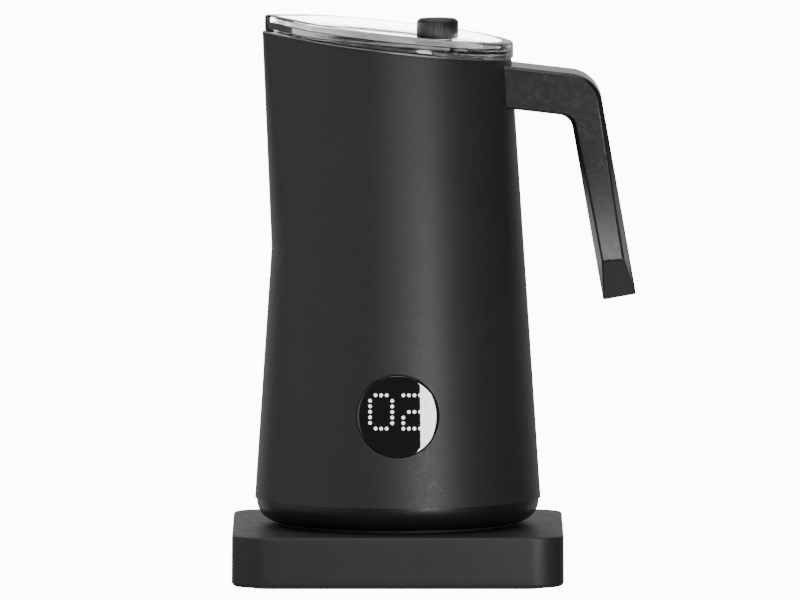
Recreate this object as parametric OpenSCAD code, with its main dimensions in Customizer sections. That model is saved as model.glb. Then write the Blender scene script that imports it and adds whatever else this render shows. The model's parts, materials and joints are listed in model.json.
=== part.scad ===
// Milk frother: a cordless double-walled jug with a clear lid, on a square power base.
// Frame: millimetres, +Z up, origin on the ground under the middle of the base.
// The display faces -Y, the handle is on +X and the pouring lip on -X.

/* [Base] */
// Side of the square power base
base_w = 120; // [112:1:130]
// Height of the base housing, without its pad
base_h = 18.4; // [17:0.2:22]
// Radius of the base's upright corners
base_corner = 12; // [6:1:20]

/* [Jug] */
// Outer radius of the jug where the shell meets the foot
jug_r = 51.85; // [51:0.05:54]
// Inward slope of the wall, in mm per mm of height
jug_taper = 0.0667; // [0.06:0.0001:0.068]
// Height at which the pouring lip starts to lean out
lip_start_z = 119.8; // [112:0.2:126]
// Height of the slanted rim at the jug's axis
rim_z = 192.5; // [191:0.1:194]
// Tilt of the rim, down towards the handle
rim_tilt = 6.26; // [5.8:0.02:6.6]
// Radius of the tip of the pouring lip, seen from above
tip_r = 6; // [5.5:0.1:6.5]
// Thickness of the outer shell
shell_t = 1.2; // [0.8:0.1:1.3]

/* [Display] */
// Radius of the round display window's hole in the shell
window_r = 15; // [14:0.1:15.4]
// Height of the middle of the display
window_z = 62.2; // [61:0.1:64]
// Travel of the display when it is pressed
press_travel = 0.6; // [0.3:0.1:0.6]

/* [Lid] */
// Radius of the round part of the lid
lid_r = 41.9; // [41:0.1:42]
// Height of the lid's wall above the rim
lid_h = 6.6; // [6:0.1:7]
// Distance of the knob from the jug's axis
knob_x = 14.4; // [10:0.1:18]
// Radius of the knob
knob_r = 7.6; // [6.5:0.1:9]

/* [Handle] */
// Half depth of the handle's arm
arm_depth = 15.3; // [14:0.1:16]
// Half depth of the grip where it ends in its bevel
grip_depth = 19; // [17:0.1:20]
// Width of the slanting side faces there, seen from the front
grip_facet = 2.1; // [1.6:0.1:2.6]

/* [Hidden] */
$fn = 96;

eps = 0.01;                        // overlap that keeps a cut from sharing a face
lip_lean = 0.0423;                 // outward slope of the pouring lip
quarters = [0, 90, 180, 270];
pad_t = 0.8;                       // how far the pad stands below the housing
base_z0 = pad_t;                   // underside of the base housing
base_z1 = base_z0 + base_h;        // top of the base
base_wall = 2.4;
roof_t = 2.6;                      // thickness of the base's top
floor_t = 2;                       // thickness of its floor plate
roof_z = base_z1 - roof_t;
boss_at = base_w / 2 - 16;         // where the four base screws stand, in X and Y
boss_r = 4;
gland_z = base_z0 + 8.2;
gland_r = 5.1;                     // neck of the cord gland
gland_bore_r = 3.5;

tower_r = 18.5;
tower_z1 = base_z1 + 9;            // top of the socket tower
flange_z = roof_z - 5;             // underside of its flange, inside the base
flange_t = 2;
flange_r = 25.5;
socket_screws_at = 22;             // radius at which the three socket screws stand
tower_edge = 0.8;                  // rounding of the tower's top
slot_z = roof_z - 2.5;             // bottom of the contact slots
ring_1 = 8;                        // mean radii of the two ring contacts
ring_2 = 13;
ring_t = 0.8;
slot_t = 1.8;                      // width of the ring slots in the tower
contact_h = 12.4;
pin_r = 2.5;
pin_slot_r = 3.2;

foot_z0 = base_z1 + 1.1;           // underside of the jug's foot
seam_z = foot_z0 + 8.7;            // where the shell meets the foot
foot_curve = 8;                    // radius of the foot's rounded edge
foot_r = jug_r - 0.65;
foot_t = 2;
foot_groove = 0.5;                 // depth of the groove that holds the rubber ring
rubber_r0 = 38;
rubber_r1 = 42;
well_r = tower_r + 1.1;            // well in the foot that takes the tower
plug_z0 = tower_z1 + 1.8;
plug_z1 = plug_z0 + 3;
retainer_z = plug_z1 + 0.3;
retainer_t = 1.8;
retainer_angles = [30, 150, 270];
retainer_at = 27.5;
retainer_lug_r = 3.4;
pilot_r = 1.1;                     // pilot holes of the screws that go into plastic
board_at = 38;
board_angles = [60, 180, 300];
post_r = 4;                        // posts of the chassis that hold the foot
post_at = 34;
post_angles = [90, 210, 330];

cup_r = 39.2;                      // outer radius of the inner cup
cup_t = 0.8;
cup_z0 = 84;                       // underside of the cup
cup_floor_t = 1;
cup_curve = 6;
cup_floor_z = cup_z0 + cup_floor_t;
cup_gap = 0.6;                     // air between the shell and the cup at the pouring lip
spindle_r = 2;
spindle_h = 11.6;
lip_t = 0.6;                       // thickness of the cup's rolled lip
form_top = 208;                    // height to which the jug's form is drawn before it is cut

deck_z = 70;                       // underside of the chassis deck
deck_t = 2.5;
stud_at = 31;
stud_angles = [30, 150, 270];
stud_r = 1.5;
motor_r = 14;
motor_z0 = 42;
motor_screws_at = 9;
heater_t = 3;
heater_ring_r = 22.8;              // mean radius of the heating element
element_r = 3;
element_z = cup_z0 - heater_t - element_r - 0.1;
element_ends = [[11.4, 19.75], [-19.75, 11.4]];
board_z = 35.6;
board_t = 1.6;
board_top = board_z + board_t;
terminals = [[21.5, 25.5, board_top + 12.1], [-19, 8, board_top + 13.1]];

window_gap = 0.3;
window_proud = 0.35;               // how far the window stands out of the shell
lens_back_y = -44.6;
panel_y = -40.9;                   // front face of the display's circuit board
panel_t = 1.6;
panel_r = window_r + 4;
collar_r = window_r + 0.7;         // collar that keeps the window from falling out
collar_t = 0.9;
display_screws_at = 16.3;
switch_z = window_z - 11;
digits_z = window_z + 1.7;
dot_pitch = 2;
dot_r = 0.7;

carrier_z0 = 77.5;
carrier_h = 5;
magnets_at = 10;                   // radius at which the magnets stand, below and above
magnet_r = 3;
whisk_magnet_r = 2.4;
bush_z0 = cup_floor_z + 1.6;
whisk_z0 = cup_floor_z + 1.2;
mesh_r0 = 8.45;                    // inner and outer radii of the perforated disc
mesh_r1 = 20.55;

lid_z0 = lip_t + 0.05;             // heights on the lid are measured from the slanted rim
panel_top = lid_h - 2.8;
panel_thick = 1.7;
lid_wall = 4.2;
lid_tip = 6;                       // radius of the lid's tip over the pouring lip
plug_wall_r = 37.3;
plug_wall_t = 1.8;
plug_tip = 4;
plug_depth = 9;
seal_low = -6.6;                   // groove of the seal
seal_high = -3.4;
knob_z0 = 195.8;
knob_h = 7.2;
knob_boss_r = 5.4;
knob_boss_h = 3.5;

arm_dip = 6.5;                     // fall of the handle's arm, in degrees
leg_lean = 10;                     // lean of the grip from upright, in degrees
outer_bend = [61.77, 171.5];       // centres of the handle's two bends, in X and Z
outer_bend_r = 12.4;
inner_bend = [57.72, 163.4];
inner_bend_r = 5.6;
grip_len = 71.8;                   // from the outer bend to the tip
outer_bevel = 13.9;                // length of the tip's bevel, along the outer and the inner side
inner_bevel = 15.1;
flare_start = 0.12;                // share of the grip above its flare
arm_facet = 0.5;                   // width of the slanting side faces along the arm
bend_facet = 1.6;                  // and after the bend
bend_flat = 13;                    // half depth of the flat between them, after the bend,
grip_flat = 9;                     // at the bevel,
tip_flat = 2.9;                    // and at the tip
root_x = 38;
tang_x1 = 57;
tang_z = 177.6;
tang_w = 12;
tang_h = 7;
handle_screw_x = 51;
screw_seat_z = tang_z - 5.3;

leg_dir = [sin(leg_lean), -cos(leg_lean)];

// ---------- shared shapes ----------

// Radius of the jug's wall at a height.
function wall_r(z) = jug_r - (z - seam_z) * jug_taper;

// Height of the slanted rim over a place.
function rim_at(x) = rim_z - x * tan(rim_tilt);

// How far the pouring lip reaches from the axis at a height.
function lip_reach(z) = wall_r(lip_start_z) + (z - lip_start_z) * lip_lean;

// How far the lid and its plug wall reach over the pouring lip.
lid_reach = lip_reach(rim_at(-49)) - 0.9;
plug_reach = lid_reach - (lid_r - plug_wall_r) + 0.6;

// A square with round corners, built from exact arcs.
module round_square(w, r) {
    square([w, w - 2 * r], center = true);
    square([w - 2 * r, w], center = true);
    for (x = [-1, 1], y = [-1, 1])
        translate([x * (w / 2 - r), y * (w / 2 - r)]) circle(r);
}

// The side view of an edge with a small radius above and below, from the middle outwards.
module edge_profile(r, h, top_f, low_f) {
    translate([0, low_f]) square([r, h - top_f - low_f]);
    square([r - low_f, h]);
    translate([0, h - top_f]) square([r - top_f, top_f]);
    translate([r - low_f, low_f]) circle(low_f);
    translate([r - top_f, h - top_f]) circle(top_f);
}

// A block with round upright corners and softened top and bottom edges.
module soft_block(w, r, h, top_f, low_f) {
    for (x = [-1, 1], y = [-1, 1])
        translate([x * (w / 2 - r), y * (w / 2 - r), 0])
            rotate_extrude() edge_profile(r, h, top_f, low_f);
    for (a = quarters)
        rotate([0, 0, a]) translate([0, w / 2 - r, 0]) rotate([90, 0, 90])
            linear_extrude(w - 2 * r, center = true) edge_profile(r, h, top_f, low_f);
    linear_extrude(h) square(w - 2 * r, center = true);
}

module tube(r, r_in, h) {
    difference() {
        cylinder(h = h, r = r);
        translate([0, 0, -1]) cylinder(h = h + 2, r = r_in);
    }
}

// A disc whose lower edge is rounded.
module bowl(r, h, f) {
    rotate_extrude() intersection() {
        square([r, h]);
        union() {
            square([r - f, h]);
            translate([0, f]) square([r, h]);
            translate([r - f, f]) circle(f);
        }
    }
}

// A screw that points up: a pan head with a cross recess, and its shank.
module screw(shank_r, len, head_r, head_h) {
    difference() {
        cylinder(h = head_h, r = head_r);
        for (a = [0, 90]) rotate([0, 0, a])
            translate([0, 0, 0.3]) cube([head_r * 1.1, 0.6, 0.8], center = true);
    }
    translate([0, 0, head_h]) cylinder(h = len, r = shank_r);
}

// The same thing on the base's four screw places.
module at_bosses() {
    for (x = [-1, 1], y = [-1, 1]) translate([x * boss_at, y * boss_at, 0]) children();
}

// The same thing at several angles round the Z axis.
module around(angles, r) {
    for (a = angles) rotate([0, 0, a]) translate([r, 0, 0]) children();
}

// The pouring lip's half of the jug's form: round below, drop-shaped above.
module lip_form(z_low, r_low, r_high, inset) {
    hull() {
        translate([0, 0, z_low]) cylinder(h = form_top - z_low, r1 = r_low, r2 = r_high);
        translate([tip_r - lip_reach(form_top), 0, form_top - 1]) cylinder(h = 1, r = tip_r - inset);
    }
}

// The jug's outer form, drawn in by inset.
module jug_form(inset) {
    translate([0, 0, seam_z])
        cylinder(h = lip_start_z - seam_z, r1 = wall_r(seam_z) - inset, r2 = wall_r(lip_start_z) - inset);
    lip_form(lip_start_z, wall_r(lip_start_z) - inset, wall_r(form_top) - inset, inset);
}

// The jug's outside above the lip's start, grown by a little.
module lip_outside(gap) {
    lip_form(lip_start_z, wall_r(lip_start_z) + gap, wall_r(form_top) + gap, 0);
}

// Everything between two heights above the slanted rim.
module rim_slab(low, high) {
    translate([0, 0, rim_z]) rotate([0, rim_tilt, 0])
        translate([-100, -100, low]) cube([200, 200, high - low]);
}

// A drop-shaped outline: a circle, and a small circle at the tip, wrapped together.
module drop(r, reach, r_tip) {
    hull() {
        circle(r);
        translate([r_tip - reach, 0]) circle(r_tip, $fn = 48);
    }
}

// An upright drop-shaped wall between two heights above the rim.
module drop_wall(r, reach, r_tip, t, low, high) {
    intersection() {
        translate([0, 0, 150]) linear_extrude(70) difference() {
            drop(r, reach, r_tip);
            drop(r - t, reach - t, r_tip - t);
        }
        rim_slab(low, high);
    }
}

// A drop-shaped plate between two heights above the rim.
module drop_plate(r, reach, r_tip, low, high) {
    intersection() {
        translate([0, 0, 150]) linear_extrude(70) drop(r, reach, r_tip);
        rim_slab(low, high);
    }
}

function mix(a, b, t) = a + (b - a) * t;
function spline(p0, p1, p2, p3, t) = 0.5 * (2 * p1 + (p2 - p0) * t
    + (2 * p0 - 5 * p1 + 4 * p2 - p3) * t * t + (3 * p1 - p0 - 3 * p2 + p3) * t * t * t);
function smooth_line(p, steps) = [
    for (i = [0 : len(p) - 2], k = [0 : steps - 1])
        spline(p[max(i - 1, 0)], p[i], p[i + 1], p[min(i + 2, len(p) - 1)], k / steps),
    p[len(p) - 1]
];
function unit(v) = v / norm(v);

// A wire: a round tube swept along a smooth line through its points.
module wire(points, r, steps = 5, sides = 8) {
    line = smooth_line(points, steps);
    n = len(line);
    rings = [for (i = [0 : n - 1]) let (
        along = unit(line[min(i + 1, n - 1)] - line[max(i - 1, 0)]),
        side = unit(cross(along, abs(along[2]) > 0.9 ? [1, 0, 0] : [0, 0, 1])),
        up = cross(side, along)
    ) for (k = [0 : sides - 1]) line[i] + r * (side * cos(k * 360 / sides) + up * sin(k * 360 / sides))];
    polyhedron(
        points = rings,
        faces = concat(
            [[for (k = [0 : sides - 1]) sides - 1 - k]],
            [[for (k = [0 : sides - 1]) (n - 1) * sides + k]],
            [for (i = [0 : n - 2], k = [0 : sides - 1]) let (
                a = i * sides + k, b = i * sides + (k + 1) % sides
            ) [a, b, b + sides, a + sides]]
        )
    );
}

// ---------- power base ----------

module base_housing() {
    color("#2b2b2c") difference() {
        translate([0, 0, base_z0]) soft_block(base_w, base_corner, base_h, 0.9, 1.6);
        difference() {
            translate([0, 0, base_z0 - 1]) linear_extrude(base_h - roof_t + 1)
                round_square(base_w - 2 * base_wall, base_corner - base_wall);
            at_bosses() translate([0, 0, base_z0 + floor_t]) cylinder(h = base_h, r = boss_r);
            around(post_angles, socket_screws_at) translate([0, 0, flange_z + flange_t])
                cylinder(h = 10, r = 2.6);
        }
        at_bosses() translate([0, 0, base_z0]) cylinder(h = 13, r = 1.5);
        around(post_angles, socket_screws_at) translate([0, 0, flange_z]) cylinder(h = 6, r = pilot_r);
        translate([0, 0, roof_z - 1]) cylinder(h = roof_t + 2, r = tower_r + 0.3);
        translate([0, base_w / 2 - base_wall - 1, gland_z]) rotate([-90, 0, 0])
            cylinder(h = base_wall + 2, r = gland_r + 0.1);
    }
}

module base_floor_plate() {
    color("#1d1d1e") difference() {
        translate([0, 0, base_z0]) linear_extrude(floor_t)
            round_square(base_w - 2 * base_wall - 0.4, base_corner - base_wall - 0.2);
        at_bosses() {
            cylinder(h = 10, r = 1.8);
            cylinder(h = base_z0 + 1, r = 3.4);
        }
    }
}

module base_pad() {
    color("#151515") difference() {
        linear_extrude(pad_t) round_square(base_w - 14, base_corner - 5);
        at_bosses() translate([0, 0, -1]) cylinder(h = 3, r = 3.6);
    }
}

module base_screws() {
    color("silver") at_bosses() translate([0, 0, base_z0 - 0.4]) screw(1.4, 10, 2.9, 1.3);
}

module cord_gland() {
    color("#101010") translate([0, base_w / 2, gland_z]) rotate([90, 0, 0]) difference() {
        union() {
            translate([0, 0, -1.2]) cylinder(h = 1.2, r = 6.6);
            cylinder(h = base_wall, r = gland_r);
            translate([0, 0, base_wall]) cylinder(h = 2.4, r = 6);
        }
        translate([0, 0, -5]) cylinder(h = 15, r = gland_bore_r);
    }
}

module socket_tower() {
    color("#1a1a1b") difference() {
        rotate_extrude() {
            translate([0, flange_z]) square([tower_r, tower_z1 - flange_z - tower_edge]);
            translate([0, flange_z]) square([tower_r - tower_edge, tower_z1 - flange_z]);
            translate([tower_r - tower_edge, tower_z1 - tower_edge]) circle(tower_edge);
            translate([0, flange_z]) square([flange_r, flange_t]);
        }
        translate([0, 0, slot_z]) cylinder(h = 30, r = pin_slot_r);
        for (r = [ring_1, ring_2]) translate([0, 0, slot_z]) tube(r + slot_t / 2, r - slot_t / 2, 30);
        around(post_angles, socket_screws_at) translate([0, 0, flange_z - 1]) cylinder(h = 4, r = 1.4);
    }
}

module socket_contacts() {
    color("#b58a3c") {
        translate([0, 0, slot_z + 0.1]) tube(pin_slot_r - 0.05, pin_slot_r - 0.4, contact_h);
        for (r = [ring_1, ring_2]) translate([0, 0, slot_z + 0.1])
            tube(r - slot_t / 2 + 0.3, r - slot_t / 2 + 0.05, contact_h);
        for (r = [0, ring_1, ring_2]) translate([r, 0, flange_z - 3]) cube([3, 0.8, 6], center = true);
    }
}

module socket_screws() {
    color("silver") around(post_angles, socket_screws_at) translate([0, 0, flange_z - 1.2])
        screw(1, 5, 2.1, 1.2);
}

module socket_seal() {
    color("#202020") translate([0, 0, base_z1]) tube(tower_r + 1.8, tower_r + 0.05, 0.5);
}

// ---------- plug under the jug ----------

module plug_disc() {
    color("#1a1a1b") translate([0, 0, plug_z0]) difference() {
        cylinder(h = plug_z1 - plug_z0, r = tower_r + 2.5);
        translate([0, 0, -1]) cylinder(h = 10, r = pin_r + 0.02);
        for (r = [ring_1, ring_2])
            translate([0, 0, -1]) tube(r + ring_t / 2 + 0.02, r - ring_t / 2 - 0.02, 3);
    }
}

module plug_contacts() {
    color("#b58a3c") {
        translate([0, 0, plug_z0 - 8.4]) cylinder(h = 9 + plug_z1 - plug_z0, r = pin_r);
        translate([0, 0, plug_z0 - 9.4]) cylinder(h = 1, r1 = pin_r - 0.9, r2 = pin_r);
        for (r = [ring_1, ring_2])
            translate([0, 0, plug_z0 - 8.6]) tube(r + ring_t / 2, r - ring_t / 2, 10.5);
    }
}

// ---------- bottom of the jug ----------

module jug_foot() {
    color("#161617") difference() {
        union() {
            difference() {
                translate([0, 0, foot_z0]) bowl(foot_r, seam_z - foot_z0, foot_curve);
                translate([0, 0, foot_z0 + foot_t]) bowl(foot_r - foot_t, 20, foot_curve - foot_t);
            }
            translate([0, 0, foot_z0]) cylinder(h = plug_z0 - foot_z0 - 0.3, r = well_r + 2.2);
            translate([0, 0, seam_z - 2]) tube(jug_r - shell_t - 0.55, jug_r - shell_t - 2.2, 5.5);
            around(post_angles, post_at) translate([0, 0, foot_z0]) cylinder(h = 8, r = 5.4);
            around(retainer_angles, retainer_at) translate([0, 0, foot_z0])
                cylinder(h = retainer_z - foot_z0, r = retainer_lug_r);
            around(board_angles, board_at) translate([0, 0, foot_z0]) cylinder(h = board_z - foot_z0, r = 2.6);
        }
        translate([0, 0, foot_z0 - 1]) cylinder(h = 30, r = well_r);
        translate([0, 0, foot_z0 - 1]) tube(rubber_r1 + 0.1, rubber_r0 - 0.1, 1 + foot_groove);
        around(post_angles, post_at) translate([0, 0, foot_z0 - 1]) {
            cylinder(h = 12, r = 1.8);
            cylinder(h = 4, r = 3.2);
        }
        around(post_angles, post_at) translate([0, 0, foot_z0 + 6]) cylinder(h = 4, r = post_r + 0.2);
        around(retainer_angles, retainer_at) translate([0, 0, retainer_z - 7]) cylinder(h = 12, r = pilot_r);
        around(board_angles, board_at) translate([0, 0, board_z - 6]) cylinder(h = 12, r = pilot_r);
    }
}

module jug_foot_screws() {
    color("silver") around(post_angles, post_at) translate([0, 0, foot_z0 + 1.4]) screw(1.4, 12, 2.9, 1.6);
}

module jug_foot_rubber() {
    color("#0e0e0e") translate([0, 0, base_z1 + 0.05]) difference() {
        tube(rubber_r1, rubber_r0, foot_z0 - base_z1 + foot_groove - 0.05);
        around(post_angles, post_at) translate([0, 0, -1]) cylinder(h = 5, r = 3.4);
    }
}

module plug_retainer() {
    color("#26262a") translate([0, 0, retainer_z]) difference() {
        union() {
            cylinder(h = retainer_t, r = tower_r + 1);
            around(retainer_angles, retainer_at) cylinder(h = retainer_t, r = retainer_lug_r);
            around(retainer_angles, 0) translate([0, -retainer_lug_r, 0])
                cube([retainer_at, 2 * retainer_lug_r, retainer_t]);
        }
        translate([0, 0, -1]) cylinder(h = 4, r = 15);
        around(retainer_angles, retainer_at) translate([0, 0, -1]) cylinder(h = 4, r = 1.3);
    }
}

module retainer_screws() {
    color("silver") around(retainer_angles, retainer_at) translate([0, 0, retainer_z + retainer_t + 1.3])
        rotate([180, 0, 0]) screw(1, 6, 2, 1.3);
}

// ---------- shell, cup and handle ----------

module outer_shell() {
    color("#232324") difference() {
        jug_form(0);
        jug_form(shell_t);
        translate([0, 0, seam_z - 1]) cylinder(h = 1 + eps, r = wall_r(seam_z) - shell_t);
        rim_slab(0, 60);
        translate([0, -30, window_z]) rotate([90, 0, 0]) cylinder(h = 40, r = window_r);
    }
}

module cup_form(inset, z0) {
    translate([0, 0, z0]) bowl(cup_r - inset, lip_start_z - z0, cup_curve - inset);
    lip_form(lip_start_z, cup_r - inset, cup_r - inset, shell_t + cup_gap + inset);
}

module inner_cup() {
    color("#8d8f92") difference() {
        union() {
            difference() {
                cup_form(0, cup_z0);
                rim_slab(0, 60);
            }
            intersection() {
                lip_form(lip_start_z, wall_r(lip_start_z) - 0.15, wall_r(form_top) - 0.15, 0.15);
                rim_slab(0, lip_t);
            }
        }
        cup_form(cup_t, cup_floor_z);
        translate([0, 0, cup_z0 - 1]) cylinder(h = 4, r = spindle_r + 0.02);
    }
}

module spindle() {
    color("silver") {
        translate([0, 0, cup_z0]) cylinder(h = spindle_h, r = spindle_r);
        translate([0, 0, cup_z0 + spindle_h]) cylinder(h = 0.8, r1 = spindle_r, r2 = spindle_r - 0.8);
        translate([0, 0, cup_floor_z]) cylinder(h = 0.6, r = 5);
    }
}

// The handle's section: an outer and an inner flat, slanting side faces, and the front and back faces.
function handle_ring(outer, inner, depth, flat, facet) = let (
    u = facet * unit(outer - inner), face_out = outer - u, face_in = inner + u
) [
    for (p = [
        [outer, -flat], [face_out, -depth], [face_in, -depth], [inner, -flat],
        [inner, flat], [face_in, depth], [face_out, depth], [outer, flat]
    ]) [p[0][0], p[1], p[0][1]]
];

// Places along the arm, round a bend (t from 0 to 1), and down the grip to its bevel (t from 0 to 1).
function bend_angle(t) = mix(90 - arm_dip, leg_lean, t);
function on_bend(c, r, t) = c + r * [cos(bend_angle(t)), sin(bend_angle(t))];
function arm_point(c, r, x) = let (p = on_bend(c, r, 0)) [x, p[1] + (p[0] - x) * tan(arm_dip)];
handle_tip = on_bend(outer_bend, outer_bend_r, 1) + grip_len * leg_dir;
function grip_at(c, r, bevel, t) = let (start = on_bend(c, r, 1))
    start + t * ((handle_tip - start) * leg_dir - bevel) * leg_dir;
function grip_flare(t) = mix(arm_depth, grip_depth, pow(max(0, t - flare_start) / (1 - flare_start), 2));

function arm_ring(x) = handle_ring(
    arm_point(outer_bend, outer_bend_r, x), arm_point(inner_bend, inner_bend_r, x),
    arm_depth, arm_depth - arm_facet, arm_facet
);
function bend_ring(t) = handle_ring(
    on_bend(outer_bend, outer_bend_r, t), on_bend(inner_bend, inner_bend_r, t),
    arm_depth, mix(arm_depth - arm_facet, bend_flat, t), mix(arm_facet, bend_facet, t)
);
function grip_ring(t) = handle_ring(
    grip_at(outer_bend, outer_bend_r, outer_bevel, t), grip_at(inner_bend, inner_bend_r, inner_bevel, t),
    grip_flare(t), mix(bend_flat, grip_flat, t), mix(bend_facet, grip_facet, t)
);
function handle_rings(bend_steps, grip_steps) = concat(
    [arm_ring(root_x)],
    [for (i = [0 : bend_steps]) bend_ring(i / bend_steps)],
    [for (i = [1 : grip_steps]) grip_ring(i / grip_steps)],
    [handle_ring(grip_at(outer_bend, outer_bend_r, 0, 1), grip_at(inner_bend, inner_bend_r, 0, 1),
        tip_flat + 0.4, tip_flat, 0.4)]
);

module handle_bar() {
    rings = handle_rings(10, 14);
    n = len(rings);
    polyhedron(
        points = [for (ring = rings) each ring],
        faces = concat(
            [[for (k = [0 : 7]) k]],
            [[for (k = [0 : 7]) n * 8 - 1 - k]],
            [for (i = [0 : n - 2], k = [0 : 7]) let (a = i * 8 + k, b = i * 8 + (k + 1) % 8)
                [a, a + 8, b + 8, b]]
        )
    );
}

module handle() {
    color("#232324") difference() {
        handle_bar();
        lip_outside(0.06);
        translate([root_x, -tang_w / 2 - 0.2, tang_z - tang_h / 2 - 0.2])
            cube([tang_x1 - root_x + 0.2, tang_w + 0.4, tang_h + 0.4]);
        translate([handle_screw_x, 0, tang_z - 20]) cylinder(h = 20, r = 1.8);
        translate([handle_screw_x, 0, screw_seat_z - 20]) cylinder(h = 20, r = 3.2);
    }
}

module handle_tang() {
    color("silver") difference() {
        translate([root_x, -tang_w / 2, tang_z - tang_h / 2]) cube([tang_x1 - root_x, tang_w, tang_h]);
        lip_outside(0.02);
        translate([handle_screw_x, 0, tang_z - 10]) cylinder(h = 20, r = 1.5);
    }
}

module handle_screw() {
    color("#3a3a3a") translate([handle_screw_x, 0, screw_seat_z - 1.7]) screw(1.45, 8, 2.9, 1.6);
}

// ---------- chassis, drive and electronics ----------

module chassis() {
    color("#3b3d40") difference() {
        union() {
            translate([0, 0, deck_z]) cylinder(h = deck_t, r = 39);
            around(post_angles, post_at) translate([0, 0, foot_z0 + 6])
                cylinder(h = deck_z - foot_z0 - 5, r = post_r);
        }
        translate([0, 0, deck_z - 1]) cylinder(h = 10, r = 6);
        around(stud_angles, stud_at) translate([0, 0, deck_z - 1]) cylinder(h = 10, r = stud_r + 0.1);
        around([0, 180], motor_screws_at) translate([0, 0, deck_z - 1]) cylinder(h = 10, r = 1.3);
        around(post_angles, post_at) translate([0, 0, foot_z0 + 5]) cylinder(h = 12, r = 1.45);
        for (e = element_ends) translate([e[0], e[1], deck_z - 1]) cylinder(h = 10, r = 2.4);
    }
}

module cup_studs() {
    color("silver") around(stud_angles, stud_at) translate([0, 0, deck_z - 4]) {
        cylinder(h = cup_z0 - deck_z + 4, r = stud_r);
        translate([0, 0, 4 + deck_t]) cylinder(h = cup_z0 - deck_z - deck_t, r = 2.6);
    }
}

module chassis_nuts() {
    color("silver") around(stud_angles, stud_at) translate([0, 0, deck_z - 2.4]) difference() {
        cylinder(h = 2.4, r = 3.1, $fn = 6);
        translate([0, 0, -1]) cylinder(h = 5, r = stud_r + 0.02);
    }
}

module heater_plate() {
    color("#b9bbbd") translate([0, 0, cup_z0 - heater_t]) tube(28, 17.5, heater_t);
}

module heater_element() {
    color("#6d6f71") {
        difference() {
            translate([0, 0, element_z]) rotate_extrude() translate([heater_ring_r, 0]) circle(element_r);
            rotate([0, 0, 60]) translate([8, 0, cup_z0 - 12]) cube([30, 30, 12]);
        }
        for (e = element_ends) translate([e[0], e[1], element_z - element_r]) cylinder(h = 3, r = 1.2);
    }
}

module thermostat() {
    color("#d6d2c6") translate([0, 23, cup_z0 - 8.6]) {
        cylinder(h = 5.6, r = 4.6);
        for (x = [-1, 1]) translate([x * 2.4, 0, -1]) cube([1.6, 0.6, 2], center = true);
    }
}

module motor() {
    color("#9a9da0") difference() {
        union() {
            translate([0, 0, motor_z0]) cylinder(h = deck_z - motor_z0, r = motor_r);
            translate([0, 0, deck_z]) cylinder(h = 1.6, r = 5.8);
            for (y = [-1, 1]) translate([0, y * 8, motor_z0 - 1.5]) cube([2.4, 0.8, 3], center = true);
        }
        translate([0, 0, motor_z0 + 4]) cylinder(h = 40, r = 1.6);
        around([0, 180], motor_screws_at) translate([0, 0, deck_z - 5]) cylinder(h = 10, r = 1.2);
    }
}

module motor_screws() {
    color("silver") around([0, 180], motor_screws_at) translate([0, 0, deck_z + deck_t + 1.3])
        rotate([180, 0, 0]) screw(1.1, 6, 2.2, 1.3);
}

module control_board() {
    color("#2f5d3a") translate([0, 0, board_z]) difference() {
        cylinder(h = board_t, r = 42);
        translate([0, 0, -1]) cylinder(h = 4, r = 10);
        around(post_angles, post_at) translate([0, 0, -1]) cylinder(h = 4, r = post_r + 0.3);
        around(retainer_angles, retainer_at) translate([0, 0, -1]) cylinder(h = 4, r = 3.9);
        around(board_angles, board_at) translate([0, 0, -1]) cylinder(h = 4, r = 1.2);
    }
}

module board_screws() {
    color("silver") around(board_angles, board_at) translate([0, 0, board_top + 1.1])
        rotate([180, 0, 0]) screw(1, 6, 1.9, 1.1);
}

module board_components() {
    color("#3a5f9e") translate([18, -7, board_top]) cube([12, 16, 14]);
    color("#d9c06a") translate([-31, -5, board_top]) cube([14, 15, 13]);
    color("#20242c") {
        translate([-20, 20, board_top]) cylinder(h = 16, r = 5);
        translate([-8, 27, board_top]) cylinder(h = 12, r = 3.4);
        translate([10, -28, board_top]) cube([9, 9, 2]);
    }
    color("#2a2a2e") translate([-14, -26, board_top]) cube([7, 7, 1.6]);
    color("#b0b3b6") {
        translate([20, 20, board_top]) cube([3, 10, 12]);
        for (x = [33, 36]) translate([x, -2, board_top]) cube([0.8, 5, 7]);
    }
    color("#e8e4da") translate([-5, -36, board_top]) cube([10, 4, 5]);
}

// A cylinder on the display's axis, between two places along Y.
module display_disc(y0, y1, r) {
    translate([0, y1, window_z]) rotate([90, 0, 0]) cylinder(h = y1 - y0, r = r);
}

// Everything inside the jug's wall below the pouring lip, drawn in by inset.
module wall_cone(inset) {
    translate([0, 0, seam_z])
        cylinder(h = 70, r1 = wall_r(seam_z) - inset, r2 = wall_r(seam_z + 70) - inset);
}

module display_housing() {
    color("#111112") difference() {
        union() {
            intersection() {
                display_disc(-60, panel_y, window_r + 2.2);
                wall_cone(shell_t + 0.3);
            }
            display_disc(panel_y - 1.2, panel_y, panel_r);
        }
        display_disc(-60, panel_y + 1, window_r - 0.1);
        display_disc(-60, lens_back_y + press_travel + 0.4, collar_r + 0.3);
        at_display_screws() cylinder(h = 3.2, r = 0.8);
    }
}

module display_board() {
    color("#2f5d3a") difference() {
        display_disc(panel_y, panel_y + panel_t, panel_r);
        at_display_screws() translate([0, 0, -3]) cylinder(h = 5, r = 0.9);
    }
}

// The three screw places of the display, each with +Z pointing out of the jug.
module at_display_screws() {
    translate([0, panel_y, window_z]) rotate([90, 0, 0]) around(post_angles, display_screws_at) children();
}

module display_screws() {
    color("silver") at_display_screws() translate([0, 0, -panel_t - 0.9]) screw(0.7, 4, 1.5, 0.9);
}

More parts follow.
